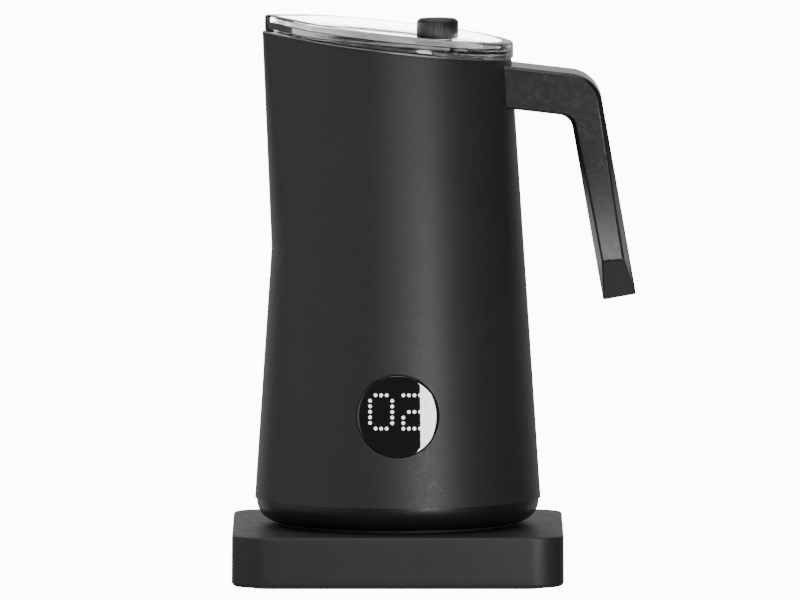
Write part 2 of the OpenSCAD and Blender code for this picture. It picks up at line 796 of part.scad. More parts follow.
// Places of the lit dots, in columns and rows of a 2 mm grid, for the digits 0 and 2.
zero = [for (c = [1 : 3], r = [0, 6]) [c, r], for (c = [0, 4], r = [1 : 5]) [c, r]];
two = [for (c = [0 : 3]) [c, 0], [4, 1], [4, 2], for (c = [1 : 3]) [c, 3], [0, 4], [0, 5],
    for (c = [0 : 4]) [c, 6]];

module led_matrix() {
    color("#e9ecef") translate([0, panel_y - 1.3, digits_z]) {
        cube([11.2 * dot_pitch, 2.6, 7.2 * dot_pitch], center = true);
        for (d = concat(zero, [for (p = two) [p[0] + 6, p[1]]]))
            translate([(d[0] - 5) * dot_pitch, -1, (3 - d[1]) * dot_pitch]) rotate([90, 0, 0])
                cylinder(h = 0.5, r = dot_r);
    }
}

module touch_switch() {
    color("#8b8d90") translate([0, panel_y - 1.2, switch_z]) difference() {
        cube([6, 2.4, 6], center = true);
        rotate([90, 0, 0]) cylinder(h = 4.8, r = 1.8, center = true);
    }
}

module display_ribbon() {
    color("#c9c4b4") translate([0, panel_y + panel_t, 0]) rotate([90, 0, 90]) linear_extrude(8, center = true)
        polygon([
            [0, window_z - 12], [0.8, window_z - 12], [2.4, window_z - 17], [4.4, 43], [5.2, 42.3],
            [5.2, board_top + 5], [4.4, board_top + 5], [3.6, 43.2], [1.6, window_z - 17], [0, window_z - 15]
        ]);
}

module display_window() {
    color("#060607") {
        intersection() {
            display_disc(-60, lens_back_y, window_r - window_gap);
            wall_cone(-window_proud);
        }
        display_disc(lens_back_y - collar_t, lens_back_y, collar_r);
    }
}

module switch_plunger() {
    color("#d0d0d0") translate([0, lens_back_y, switch_z]) rotate([-90, 0, 0]) cylinder(h = 1.9, r = 1.5);
}

module heater_leads() {
    color("#b8442e") for (i = [0, 1]) let (e = element_ends[i], t = terminals[i]) wire([
        [e[0], e[1], element_z - element_r - 0.05],
        [e[0], e[1], deck_z - 1],
        [mix(e[0], t[0], 0.1), mix(e[1], t[1], 0.1), deck_z - 5],
        [mix(e[0], t[0], 0.6), mix(e[1], t[1], 0.6), deck_z - 12],
        [t[0], t[1], t[2] + 4],
        [t[0], t[1], t[2]]
    ], 0.9);
}

module motor_leads() {
    color("#cfcfcf") for (y = [-1, 1]) wire([
        [0, y * 8, 38.2], [3, y * 11, 38.2], [9, y * 12.5, 38.4], [14, y * 9, 39.6], [17.3, y * 5, 41.5]
    ], 0.7);
}

// ---------- magnetic drive and whisk ----------

module motor_shaft() {
    color("silver") translate([0, 0, motor_z0 + 6]) cylinder(h = carrier_z0 + 3 - motor_z0 - 6, r = 1.5);
}

module magnet_carrier() {
    color("#4a4a4e") translate([0, 0, carrier_z0 - 1.5]) difference() {
        union() {
            translate([0, 0, 1.5]) cylinder(h = carrier_h, r = 15);
            cylinder(h = 2, r = 4);
        }
        translate([0, 0, -1]) cylinder(h = 5.5, r = 1.52);
        around(quarters, magnets_at) translate([0, 0, 3.5]) cylinder(h = 5, r = magnet_r + 0.02);
    }
}

module drive_magnets() {
    color("#a9abae") around(quarters, magnets_at) translate([0, 0, carrier_z0 + 2])
        cylinder(h = carrier_h - 2, r = magnet_r);
}

module whisk_bush() {
    color("#e6e0d0") translate([0, 0, bush_z0]) {
        tube(3.4, 2.15, 10.6);
        translate([0, 0, 10.6]) cylinder(h = 1, r = 3.4);
        translate([0, 0, 11.6]) cylinder(h = 1.2, r = 5.2);
    }
}

module whisk_wheel() {
    color("#1b1b1c") translate([0, 0, whisk_z0]) difference() {
        union() {
            cylinder(h = 3.6, r = 14.5);
            cylinder(h = 10.6, r = 6);
            for (a = [0 : 45 : 315]) rotate([0, 0, a]) intersection() {
                translate([4, -11, 3]) tube(17.2, 16, 5.4);
                translate([2, 0, 0]) cube([17.5, 20, 12]);
            }
        }
        translate([0, 0, -1]) cylinder(h = 20, r = 3.6);
        around(quarters, magnets_at) translate([0, 0, -1]) cylinder(h = 3.6, r = whisk_magnet_r + 0.02);
    }
}

module whisk_magnets() {
    color("#a9abae") around(quarters, magnets_at) translate([0, 0, whisk_z0])
        cylinder(h = 2.6, r = whisk_magnet_r);
}

module mesh_frame() {
    color("#202021") translate([0, 0, whisk_z0 + 8.5]) {
        tube(23, mesh_r1 + 0.05, 1.8);
        tube(mesh_r0 - 0.05, 6.1, 1.8);
        difference() {
            for (a = [0 : 60 : 300]) rotate([0, 0, a]) translate([8, -0.8, 0]) cube([13, 1.6, 0.7]);
            cylinder(h = 3, r = 6.1);
        }
    }
}

module whisk_mesh() {
    color("#b9bcc0") translate([0, 0, whisk_z0 + 9.25]) difference() {
        tube(mesh_r1, mesh_r0, 0.5);
        for (ring = [10 : 2.2 : 19], a = [0 : 360 / floor(ring * 2.6) : 359])
            rotate([0, 0, a]) translate([ring, 0, -1]) cylinder(h = 3, r = 0.55, $fn = 16);
    }
}

// ---------- lid ----------

module lid() {
    color([0.85, 0.87, 0.88, 0.4]) difference() {
        union() {
            drop_wall(lid_r, lid_reach, lid_tip, lid_wall, lid_z0, lid_h);
            drop_plate(lid_r - 1, lid_reach - 1, lid_tip - 1, panel_top - panel_thick, panel_top);
            drop_wall(plug_wall_r, plug_reach, plug_tip, plug_wall_t, -plug_depth, panel_top - 1);
            translate([knob_x, 0, knob_z0 - knob_boss_h]) cylinder(h = knob_boss_h, r = knob_boss_r);
        }
        drop_wall(plug_wall_r + 1, plug_reach + 1, plug_tip + 1, 1.7, seal_low, seal_high);
        translate([knob_x, 0, knob_z0 - 20]) cylinder(h = 40, r = 1.9);
    }
}

module lid_seal() {
    color("#d9dadb") union() {
        drop_wall(plug_wall_r - 0.05, plug_reach - 0.05, plug_tip - 0.05, 0.6, seal_low + 0.1, seal_high - 0.1);
        for (low = [seal_low + 0.4, seal_low + 2])
            drop_wall(plug_wall_r + 0.75, plug_reach + 0.55, plug_tip + 0.5, 1, low, low + 0.7);
    }
}

module lid_knob() {
    color("#1c1c1d") translate([knob_x, 0, knob_z0]) difference() {
        rotate_extrude() polygon([
            [0, 0], [knob_r - 0.3, 0], [knob_r, 0.3], [knob_r, knob_h - 1.1], [knob_r - 1.3, knob_h - 0.05],
            [knob_r - 1.7, knob_h], [knob_r - 2.4, knob_h - 0.25], [0, knob_h - 0.35]
        ]);
        translate([0, 0, -1]) cylinder(h = 5.4, r = 1.5);
    }
}

module knob_screw() {
    color("silver") translate([knob_x, 0, knob_z0 - knob_boss_h - 1.9]) screw(1.45, 8, 2.9, 1.4);
}

module knob_washer() {
    color("#c9cbcc") translate([knob_x, 0, knob_z0 - knob_boss_h - 0.5]) tube(3.6, 1.6, 0.5);
}

base_housing();
base_floor_plate();
base_pad();
base_screws();
cord_gland();
socket_tower();
socket_contacts();
socket_screws();
socket_seal();
plug_disc();
plug_contacts();
jug_foot();
jug_foot_screws();
jug_foot_rubber();
plug_retainer();
retainer_screws();
outer_shell();
inner_cup();
spindle();
handle();
handle_tang();
handle_screw();
chassis();
chassis_nuts();
cup_studs();
heater_plate();
heater_element();
thermostat();
heater_leads();
motor();
motor_screws();
motor_leads();
control_board();
board_components();
board_screws();
display_housing();
display_board();
display_screws();
led_matrix();
touch_switch();
display_ribbon();
display_window();
switch_plunger();
motor_shaft();
magnet_carrier();
drive_magnets();
whisk_bush();
whisk_wheel();
whisk_magnets();
whisk_mesh();
mesh_frame();
lid();
lid_seal();
lid_knob();
knob_screw();
knob_washer();
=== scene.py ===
"""Looks of the milk frother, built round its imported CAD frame.

Lengths are in metres and the frame is the CAD's: +Z up, display on -Y, handle on +X, pouring lip on -X.
"""
import json
import math

import bmesh
import bpy
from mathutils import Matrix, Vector


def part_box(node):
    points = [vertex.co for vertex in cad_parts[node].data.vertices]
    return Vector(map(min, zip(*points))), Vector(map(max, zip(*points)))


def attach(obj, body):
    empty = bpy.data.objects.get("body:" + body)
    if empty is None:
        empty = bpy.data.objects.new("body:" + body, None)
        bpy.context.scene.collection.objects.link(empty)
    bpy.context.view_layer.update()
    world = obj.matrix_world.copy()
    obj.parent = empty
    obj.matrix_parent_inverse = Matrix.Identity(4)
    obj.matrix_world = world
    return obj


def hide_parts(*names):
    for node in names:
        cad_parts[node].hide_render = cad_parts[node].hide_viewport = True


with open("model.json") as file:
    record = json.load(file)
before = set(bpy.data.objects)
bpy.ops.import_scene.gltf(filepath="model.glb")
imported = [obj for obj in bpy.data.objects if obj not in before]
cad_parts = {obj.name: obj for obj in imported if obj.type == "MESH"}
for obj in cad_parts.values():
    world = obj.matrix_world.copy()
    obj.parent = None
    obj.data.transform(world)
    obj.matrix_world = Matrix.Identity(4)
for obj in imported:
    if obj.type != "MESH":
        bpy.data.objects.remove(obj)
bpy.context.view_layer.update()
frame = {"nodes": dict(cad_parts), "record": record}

MM = 0.001

# ---------- sizes that the frame gives ----------

BASE_LOW, BASE_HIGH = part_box("base_housing")
SHELL_LOW, SHELL_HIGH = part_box("outer_shell")
FOOT_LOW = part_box("jug_foot")[0]
CUP_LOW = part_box("inner_cup")[0]
LID_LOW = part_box("lid")[0]
KNOB_LOW, KNOB_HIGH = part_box("lid_knob")
WINDOW_LOW, WINDOW_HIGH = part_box("display_window")
HANDLE_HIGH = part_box("handle")[1]
PLUG_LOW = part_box("plug_disc")[0]

# ---------- shape values shared with the CAD model ----------

SEAM_Z = SHELL_LOW.z                    # where the shell meets the foot
JUG_R = SHELL_HIGH.y                    # shell radius there
TAPER = 0.0667                          # inward slope of the wall
LIP_START_Z = 119.8 * MM                # where the pouring lip starts to lean out
LIP_TOP_Z = 207.5 * MM                  # height that the lip's form is drawn to
LIP_LEAN = 0.0423                       # outward slope of the lip
TIP_R = 6 * MM
SHELL_T = 1.2 * MM
RIM_Z = 192.5 * MM                      # slanted rim, at the axis
RIM_TILT = math.radians(6.26)
CUP_WALL_R = 39.2 * MM
CUP_T = 0.8 * MM
CUP_CURVE = 6 * MM
LIP_T = 0.6 * MM
WINDOW_HOLE_R = 15 * MM
WINDOW_R = WINDOW_HOLE_R - 0.3 * MM
WINDOW_PROUD = 0.35 * MM
WINDOW_Z = (WINDOW_LOW.z + WINDOW_HIGH.z) / 2
WINDOW_BACK_Y = -44.6 * MM


def mix(a, b, t):
    return a + (b - a) * t


def wall_r(z):
    """Radius of the jug's wall at a height."""
    return JUG_R - (z - SEAM_Z) * TAPER


def rim_height(x, above=0.0):
    """Height of a plane parallel to the slanted rim, over a place."""
    return RIM_Z - x * math.tan(RIM_TILT) + above / math.cos(RIM_TILT)


def lip_reach(z):
    """How far the pouring lip reaches from the axis at a height."""
    return wall_r(LIP_START_Z) + (z - LIP_START_Z) * LIP_LEAN


# ---------- mesh tools ----------

def make_piece(name, verts, faces, body, material, replaces=(), crease=32):
    """A piece from vertices and faces, smooth except where faces meet at more than crease degrees."""
    mesh = bpy.data.meshes.new(name)
    bm = bmesh.new()
    made = [bm.verts.new(v) for v in verts]
    for face in faces:
        if len(set(face)) > 2:
            bm.faces.new([made[i] for i in dict.fromkeys(face)])
    bmesh.ops.remove_doubles(bm, verts=bm.verts, dist=1e-7)
    bmesh.ops.dissolve_degenerate(bm, edges=bm.edges, dist=1e-7)
    bmesh.ops.recalc_face_normals(bm, faces=bm.faces)
    for face in bm.faces:
        face.smooth = True
    for edge in bm.edges:
        if len(edge.link_faces) == 2 and edge.calc_face_angle(0) > math.radians(crease):
            edge.smooth = False
    bm.to_mesh(mesh)
    bm.free()
    piece = bpy.data.objects.new(name, mesh)
    bpy.context.scene.collection.objects.link(piece)
    mesh.materials.append(material)
    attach(piece, body)
    if replaces:
        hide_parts(*replaces)
    return piece


def combine(piece, tool, operation):
    """Joins a tool piece to a piece, or cuts it away, and removes the tool."""
    step = piece.modifiers.new("combine", "BOOLEAN")
    step.operation = operation
    step.solver = "EXACT"
    step.object = tool
    bpy.context.view_layer.update()
    piece_now = piece.evaluated_get(bpy.context.evaluated_depsgraph_get())
    solid = bpy.data.meshes.new_from_object(piece_now)
    piece.modifiers.clear()
    piece.data = solid
    bpy.data.objects.remove(tool)
    return piece


def loft(rings, closed_loop=False, cap_start=False, cap_end=False):
    """Vertices and faces of quads between rings that have equal numbers of points."""
    count = len(rings[0])
    verts = [point for ring in rings for point in ring]
    faces = []
    spans = len(rings) if closed_loop else len(rings) - 1
    for i in range(spans):
        a, b = i * count, (i + 1) % len(rings) * count
        for k in range(count):
            n = (k + 1) % count
            faces.append((a + k, a + n, b + n, b + k))
    if cap_start:
        faces.append(tuple(range(count)))
    if cap_end:
        faces.append(tuple(range((len(rings) - 1) * count, len(rings) * count)))
    return verts, faces


def circle_ring(radius, z, count=192, centre=(0, 0)):
    return [
        (centre[0] + radius * math.cos(2 * math.pi * k / count),
         centre[1] + radius * math.sin(2 * math.pi * k / count), z)
        for k in range(count)
    ]


def lathe(profile, count=192, centre=(0, 0), closed_loop=True):
    """A solid turned about an upright axis, from (radius, height) pairs."""
    return loft([circle_ring(r, z, count, centre) for r, z in profile], closed_loop)


def arc(centre_a, centre_b, radius, start, end, steps):
    """Points of an arc in a profile, from start to end in degrees."""
    return [
        (centre_a + radius * math.cos(math.radians(mix(start, end, i / steps))),
         centre_b + radius * math.sin(math.radians(mix(start, end, i / steps))))
        for i in range(steps + 1)
    ]


def drop_outline(radius, reach, tip_r, arc_steps=168, edge_steps=12, tip_steps=24):
    """A circle and a small tip circle on -X, joined by tangents, as (x, y) pairs that start on +X."""
    centre = reach - tip_r
    lean = math.acos(max(-1.0, min(1.0, (radius - tip_r) / centre))) if centre > 1e-6 else 0.0
    turn = math.pi - lean
    points = [
        (radius * math.cos(mix(0, turn, i / (arc_steps / 2))),
         radius * math.sin(mix(0, turn, i / (arc_steps / 2))))
        for i in range(arc_steps // 2)
    ]
    start = (radius * math.cos(turn), radius * math.sin(turn))
    end = (-centre + tip_r * math.cos(turn), tip_r * math.sin(turn))
    points += [
        (mix(start[0], end[0], i / edge_steps), mix(start[1], end[1], i / edge_steps))
        for i in range(edge_steps)
    ]
    points += [
        (-centre + tip_r * math.cos(mix(turn, math.pi, i / (tip_steps / 2))),
         tip_r * math.sin(mix(turn, math.pi, i / (tip_steps / 2))))
        for i in range(tip_steps // 2)
    ]
    points.append((-reach, 0.0))
    mirrored = [(x, -y) for x, y in reversed(points[1:-1])]
    return points + mirrored


# ---------- materials ----------

class Shader:
    """A Principled material and short ways to add procedural detail to it."""

    def __init__(self, name, colour, roughness, **values):
        self.material = bpy.data.materials.new(name)
        self.material.use_nodes = True
        self.nodes = self.material.node_tree.nodes
        self.links = self.material.node_tree.links
        self.bsdf = self.nodes["Principled BSDF"]
        self.coords = self.nodes.new("ShaderNodeTexCoord").outputs["Object"]
        self.colour = tuple(colour)
        self.bsdf.inputs["Base Color"].default_value = (*colour, 1)
        self.bsdf.inputs["Roughness"].default_value = roughness
        for key, value in values.items():
            self.bsdf.inputs[key.replace("_", " ")].default_value = value
        self.height = None

    def stretched(self, scale):
        mapping = self.nodes.new("ShaderNodeMapping")
        mapping.inputs["Scale"].default_value = scale
        self.links.new(self.coords, mapping.inputs["Vector"])
        return mapping.outputs["Vector"]

    def noise(self, scale, detail=3.0, rough=0.55, vector=None):
        """Noise with features about 1/scale metres across."""
        node = self.nodes.new("ShaderNodeTexNoise")
        node.inputs["Scale"].default_value = scale
        node.inputs["Detail"].default_value = detail
        node.inputs["Roughness"].default_value = rough
        self.links.new(vector or self.coords, node.inputs["Vector"])
        return node.outputs["Fac"]

    def cells(self, scale, feature="F1", vector=None):
        node = self.nodes.new("ShaderNodeTexVoronoi")
        node.feature = feature
        node.inputs["Scale"].default_value = scale
        self.links.new(vector or self.coords, node.inputs["Vector"])
        return node.outputs["Distance"]

    def ramp(self, value, low, high, low_out=0.0, high_out=1.0):
        node = self.nodes.new("ShaderNodeMapRange")
        node.inputs["From Min"].default_value = low
        node.inputs["From Max"].default_value = high
        node.inputs["To Min"].default_value = low_out
        node.inputs["To Max"].default_value = high_out
        self.links.new(value, node.inputs["Value"])
        return node.outputs["Result"]

    def math(self, operation, a, b):
        node = self.nodes.new("ShaderNodeMath")
        node.operation = operation
        for socket, value in zip(node.inputs, (a, b)):
            if isinstance(value, (int, float)):
                socket.default_value = value
            else:
                self.links.new(value, socket)
        return node.outputs[0]

    def tint(self, factor, other):
        """Mixes the base colour towards another colour by factor, over whatever is there already."""
        node = self.nodes.new("ShaderNodeMix")
        node.data_type = "RGBA"
        target = self.bsdf.inputs["Base Color"]
        if target.is_linked:
            self.links.new(target.links[0].from_socket, node.inputs["A"])
        else:
            node.inputs["A"].default_value = (*self.colour, 1)
        node.inputs["B"].default_value = (*other, 1)
        self.links.new(factor, node.inputs["Factor"])
        self.links.new(node.outputs["Result"], target)

    def rough(self, value):
        self.links.new(value, self.bsdf.inputs["Roughness"])

    def bump(self, height, distance, strength=1.0):
        """Bump of the given depth in metres, laid over any bump before it."""
        node = self.nodes.new("ShaderNodeBump")
        node.inputs["Distance"].default_value = distance
        node.inputs["Strength"].default_value = strength
        self.links.new(height, node.inputs["Height"])
        if self.bsdf.inputs["Normal"].is_linked:
            self.links.new(self.bsdf.inputs["Normal"].links[0].from_socket, node.inputs["Normal"])
        self.links.new(node.outputs["Normal"], self.bsdf.inputs["Normal"])

    def edge_wear(self, colour, amount=0.5):
        """Lightens convex edges a little, broken up by noise."""
        geometry = self.nodes.new("ShaderNodeNewGeometry")
        edges = self.ramp(geometry.outputs["Pointiness"], 0.53, 0.6)
        broken = self.math("MULTIPLY", edges, self.ramp(self.noise(500), 0.4, 0.7, 0.2, 1.0))
        self.tint(self.math("MULTIPLY", broken, amount), colour)


def scaled(colour, factor):
    return tuple(c * factor for c in colour)


def powder_coat(name, colour):
    """Fine matt powder coat: a close sparkle of grain over a faintly wavy skin."""
    s = Shader(name, colour, 0.47, IOR=1.5)
    grain = s.noise(2600, 2.0, 0.6)
    s.tint(s.ramp(grain, 0.42, 0.62), scaled(colour, 1.45))
    s.tint(s.ramp(s.noise(60), 0.35, 0.7, 0, 0.5), scaled(colour, 0.88))
    s.rough(s.ramp(s.noise(900), 0.3, 0.7, 0.43, 0.51))
    s.bump(grain, 0.035 * MM, 0.6)
    s.bump(s.cells(1500), 0.02 * MM, 0.35)
    return s.material


def moulded(name, colour, roughness=0.45, grain=1800, depth=0.02, wear=0.25):
    """Moulded plastic with spark-eroded grain."""
    s = Shader(name, colour, roughness)
    fine = s.noise(grain, 3.0)
    s.tint(s.ramp(fine, 0.4, 0.65), scaled(colour, 1.3))
    s.tint(s.ramp(s.noise(45), 0.35, 0.7, 0, 0.6), scaled(colour, 0.85))
    s.edge_wear(scaled(colour, 2.2), wear)
    s.rough(s.ramp(s.noise(300), 0.3, 0.7, roughness - 0.05, roughness + 0.06))
    s.bump(fine, depth * MM, 0.7)
    return s.material


def leather_grain(name, colour):
    """Handle plastic moulded with a fine leather grain."""
    s = Shader(name, colour, 0.25, IOR=1.65)
    vector = s.stretched((1.0, 1.0, 0.8))
    pebbles = s.cells(950, "F1", vector)
    creases = s.cells(950, "DISTANCE_TO_EDGE", vector)
    s.tint(s.ramp(pebbles, 0.1, 0.6), scaled(colour, 0.8))
    s.tint(s.ramp(s.noise(2200), 0.45, 0.7, 0, 0.6), scaled(colour, 1.6))
    s.tint(s.ramp(s.noise(35), 0.35, 0.7, 0, 0.5), scaled(colour, 1.2))
    s.rough(s.ramp(s.noise(500), 0.3, 0.7, 0.22, 0.28))
    s.bump(s.ramp(creases, 0.0, 0.3), 0.012 * MM, 0.2)
    s.bump(s.noise(2600), 0.006 * MM, 0.3)
    return s.material


def rubber(name, colour):
    s = Shader(name, colour, 0.7)
    dust = s.noise(700, 4.0)
    s.tint(s.ramp(dust, 0.5, 0.75, 0, 0.6), scaled(colour, 2.0))
    s.rough(s.ramp(s.noise(200), 0.3, 0.7, 0.62, 0.78))
    s.bump(s.noise(1500), 0.02 * MM, 0.8)
    return s.material


def gloss_black(name):
    """Polished black window with a trace of haze."""
    s = Shader(name, (0.0035, 0.0037, 0.004), 0.03, IOR=2.0)
    s.tint(s.ramp(s.noise(90), 0.4, 0.7), (0.006, 0.006, 0.007))
    s.rough(s.ramp(s.noise(160, 4.0), 0.35, 0.75, 0.02, 0.05))
    s.bump(s.noise(30, 1.0), 0.004 * MM, 0.2)
    return s.material


def clear_plastic(name):
    """Clear, polished plastic with a little haze and moulding ripple."""
    s = Shader(name, (0.95, 0.955, 0.96), 0.06, IOR=1.49, Transmission_Weight=1.0)
    s.tint(s.ramp(s.noise(50), 0.3, 0.7), (0.92, 0.925, 0.93))
    s.rough(s.ramp(s.noise(240, 4.0), 0.4, 0.8, 0.05, 0.1))
    s.bump(s.noise(55, 2.0), 0.03 * MM, 0.35)
    smoke = s.nodes.new("ShaderNodeVolumeAbsorption")
    smoke.inputs["Color"].default_value = (0.45, 0.45, 0.45, 1)
    smoke.inputs["Density"].default_value = 75.0
    s.links.new(smoke.outputs["Volume"], s.nodes["Material Output"].inputs["Volume"])
    return s.material


def silicone(name):
    s = Shader(name, (0.62, 0.64, 0.65), 0.4, IOR=1.41, Transmission_Weight=0.35, Subsurface_Weight=0.3)
    s.bsdf.inputs["Subsurface Radius"].default_value = (0.002, 0.002, 0.002)
    s.tint(s.ramp(s.noise(220), 0.35, 0.7), (0.55, 0.57, 0.58))
    s.rough(s.ramp(s.noise(400), 0.3, 0.7, 0.34, 0.46))
    s.bump(s.noise(900), 0.01 * MM, 0.5)
    return s.material


def metal(name, colour, roughness, brush=None, wear=0.0):
    """Metal with fine brushing along an axis, or an even satin grain."""
    s = Shader(name, colour, roughness, Metallic=1.0)
    vector = s.stretched(brush) if brush else None
    lines = s.noise(1500, 3.0, 0.6, vector)
    s.tint(s.ramp(lines, 0.35, 0.7), scaled(colour, 0.78))
    if wear:
        s.tint(s.ramp(s.noise(120, 5.0), 0.55, 0.8, 0, wear), scaled(colour, 0.45))
    s.rough(s.ramp(lines, 0.3, 0.75, roughness - 0.06, roughness + 0.08))
    s.bump(lines, 0.006 * MM, 0.6)
    return s.material


def circuit_board(name):
    s = Shader(name, (0.012, 0.09, 0.032), 0.35, Coat_Weight=0.4)
    tracks = s.cells(420, "DISTANCE_TO_EDGE")
    s.tint(s.ramp(tracks, 0.08, 0.1, 1, 0), (0.02, 0.14, 0.05))
    s.tint(s.ramp(s.noise(150), 0.4, 0.7, 0, 0.5), (0.008, 0.06, 0.022))
    s.rough(s.ramp(s.noise(600), 0.3, 0.7, 0.3, 0.42))
    s.bump(s.ramp(tracks, 0.08, 0.1), 0.02 * MM, 0.5)
    return s.material


def light_emitter(name):
    """Lit dots, slightly uneven in brightness."""
    s = Shader(name, (0.9, 0.92, 0.93), 0.35, Emission_Strength=1.3)
    s.bsdf.inputs["Emission Color"].default_value = (0.97, 0.985, 1.0, 1)
    s.tint(s.ramp(s.noise(700), 0.3, 0.7), (0.8, 0.83, 0.86))
    s.rough(s.ramp(s.noise(500), 0.3, 0.7, 0.3, 0.42))
    s.bump(s.noise(1500), 0.004 * MM, 0.4)
    return s.material


BLACK_COAT = powder_coat("powder_coat", (0.021, 0.021, 0.0215))
BASE_PLASTIC = moulded("base_moulding", (0.021, 0.021, 0.0215), 0.5, 2200, 0.016, 0.2)
DARK_PLASTIC = moulded("satin_black_moulding", (0.010, 0.010, 0.0105), 0.4, 2400, 0.01, 0.15)
HANDLE_PLASTIC = leather_grain("leather_grained_moulding", (0.009, 0.009, 0.0092))
KNOB_PLASTIC = moulded("knob_moulding", (0.014, 0.014, 0.0145), 0.34, 2600, 0.008, 0.2)
INNER_PLASTIC = moulded("glass_filled_moulding", (0.03, 0.03, 0.032), 0.55, 900, 0.03, 0.2)
WHITE_CERAMIC = moulded("white_insulation", (0.66, 0.63, 0.56), 0.5, 1200, 0.02, 0.1)
COMPONENT_PLASTIC = moulded("component_moulding", (0.03, 0.04, 0.075), 0.45, 1500, 0.015, 0.3)
DARK_RUBBER = rubber("black_rubber", (0.012, 0.012, 0.012))
RED_LEAD = rubber("red_silicone_sleeve", (0.42, 0.04, 0.025))
BLACK_GLOSS = gloss_black("polished_black_window")
CLEAR_PLASTIC = clear_plastic("clear_plastic")
SILICONE = silicone("clear_silicone")
CUP_STEEL = metal("brushed_stainless", (0.62, 0.62, 0.63), 0.36, (0.06, 0.06, 1.6))
MOTOR_STEEL = metal("plated_can", (0.42, 0.42, 0.43), 0.32, (0.3, 0.3, 1.5), 0.3)
ZINC = metal("zinc_plate", (0.6, 0.6, 0.62), 0.3, None, 0.4)
ALUMINIUM = metal("cast_aluminium", (0.66, 0.66, 0.67), 0.48, None, 0.2)
NICKEL = metal("nickel_plate", (0.64, 0.62, 0.58), 0.16)
BRASS = metal("contact_brass", (0.76, 0.55, 0.24), 0.22, (1.0, 1.0, 0.2), 0.5)
BOARD_GREEN = circuit_board("solder_resist")
LED_LIGHT = light_emitter("lit_dots")

BY_SLOT = {
    "black_coat": BLACK_COAT, "base_plastic": BASE_PLASTIC, "dark_plastic": DARK_PLASTIC,
    "handle_plastic": HANDLE_PLASTIC, "knob_plastic": KNOB_PLASTIC, "inner_plastic": INNER_PLASTIC,
    "dark_rubber": DARK_RUBBER, "black_gloss": BLACK_GLOSS, "clear_plastic": CLEAR_PLASTIC,
    "clear_silicone": SILICONE, "cup_steel": CUP_STEEL, "motor_steel": MOTOR_STEEL,
    "zinc_screws": ZINC, "cast_aluminium": ALUMINIUM, "magnet_nickel": NICKEL, "contact_brass": BRASS,
    "ceramic_white": WHITE_CERAMIC, "lead_red": RED_LEAD, "board_green": BOARD_GREEN,
    "component_plastic": COMPONENT_PLASTIC, "led_white": LED_LIGHT,
}


def finish_cad_nodes():
    """Gives every CAD node its slot's material, and smooth shading except where faces meet at more than 28
    degrees.
    """
    for part in frame["record"]["subparts"]:
        node = frame["nodes"][part["node"]]
        node.data.materials.clear()
        node.data.materials.append(BY_SLOT[part["material_slot"]])
        for polygon in node.data.polygons:
            polygon.use_smooth = True
            polygon.material_index = 0
        node.data.set_sharp_from_angle(angle=math.radians(28))


# ---------- power base ----------

BASE_CORNER = 12 * MM
BASE_DRAFT = 0.1 * MM                   # how much narrower the base is at its top
BASE_WALL = 2.4 * MM
BASE_ROOF = 2.6 * MM
BASE_TOP_EDGE = 0.7 * MM
TOWER_HOLE_R = 18.8 * MM
BASE_LOW_EDGE = 1.6 * MM


def round_square_ring(half, corner, z, corner_steps=14, side_steps=10):
    """A square ring with round corners, starting in the middle of the +X side."""
    reach = half - corner
    quarter = [(half, mix(0, reach, i / side_steps)) for i in range(side_steps)]
    quarter += [
        (reach + corner * math.cos(math.pi / 2 * i / corner_steps),
         reach + corner * math.sin(math.pi / 2 * i / corner_steps))
        for i in range(corner_steps)
    ]
    quarter += [(mix(reach, 0, i / side_steps), half) for i in range(side_steps)]
    ring = []
    for turn in range(4):
        c, s = [(1, 0), (0, 1), (-1, 0), (0, -1)][turn]
        ring += [(c * x - s * y, s * x + c * y, z) for x, y in quarter]
    return ring


def matched_circle(radius, z, like):
    """A circle with one point in the direction of each point of another ring."""
    return [(radius * x / math.hypot(x, y), radius * y / math.hypot(x, y), z) for x, y, _ in like]


def base_case():
    low, high, half = BASE_LOW.z, BASE_HIGH.z, BASE_HIGH.x

    def skin(inset, z):
        draft = BASE_DRAFT * (z - low) / (high - low)
        return round_square_ring(half - draft - inset, BASE_CORNER - inset, z)

    rings = []
    for inset, up in arc(BASE_LOW_EDGE, BASE_LOW_EDGE, BASE_LOW_EDGE, 270, 180, 8):
        rings.append(skin(inset, low + up))
    for step in range(1, 8):
        rings.append(skin(0, mix(low + BASE_LOW_EDGE, high - BASE_TOP_EDGE, step / 8)))
    for inset, down in arc(BASE_TOP_EDGE, BASE_TOP_EDGE, BASE_TOP_EDGE, 180, 270, 8):
        rings.append(skin(inset, high - down))
    last = rings[-1]
    circle = matched_circle(TOWER_HOLE_R + 0.5 * MM, high, last)
    for t in (0.12, 0.3, 0.5, 0.7, 0.9, 1.0):
        rings.append([(mix(a[0], b[0], t), mix(a[1], b[1], t), high) for a, b in zip(last, circle)])
    rings.append(matched_circle(TOWER_HOLE_R, high - 0.5 * MM, last))
    rings.append(matched_circle(TOWER_HOLE_R, high - BASE_ROOF, last))
    under = round_square_ring(half - BASE_WALL - BASE_DRAFT, BASE_CORNER - BASE_WALL, high - BASE_ROOF)
    rings.append(under)
    rings.append(round_square_ring(half - BASE_WALL - BASE_DRAFT, BASE_CORNER - BASE_WALL, low))
    verts, faces = loft(rings, closed_loop=True)
    return make_piece("base_case", verts, faces, "base", BASE_PLASTIC, ["base_housing"])


# ---------- jug ----------

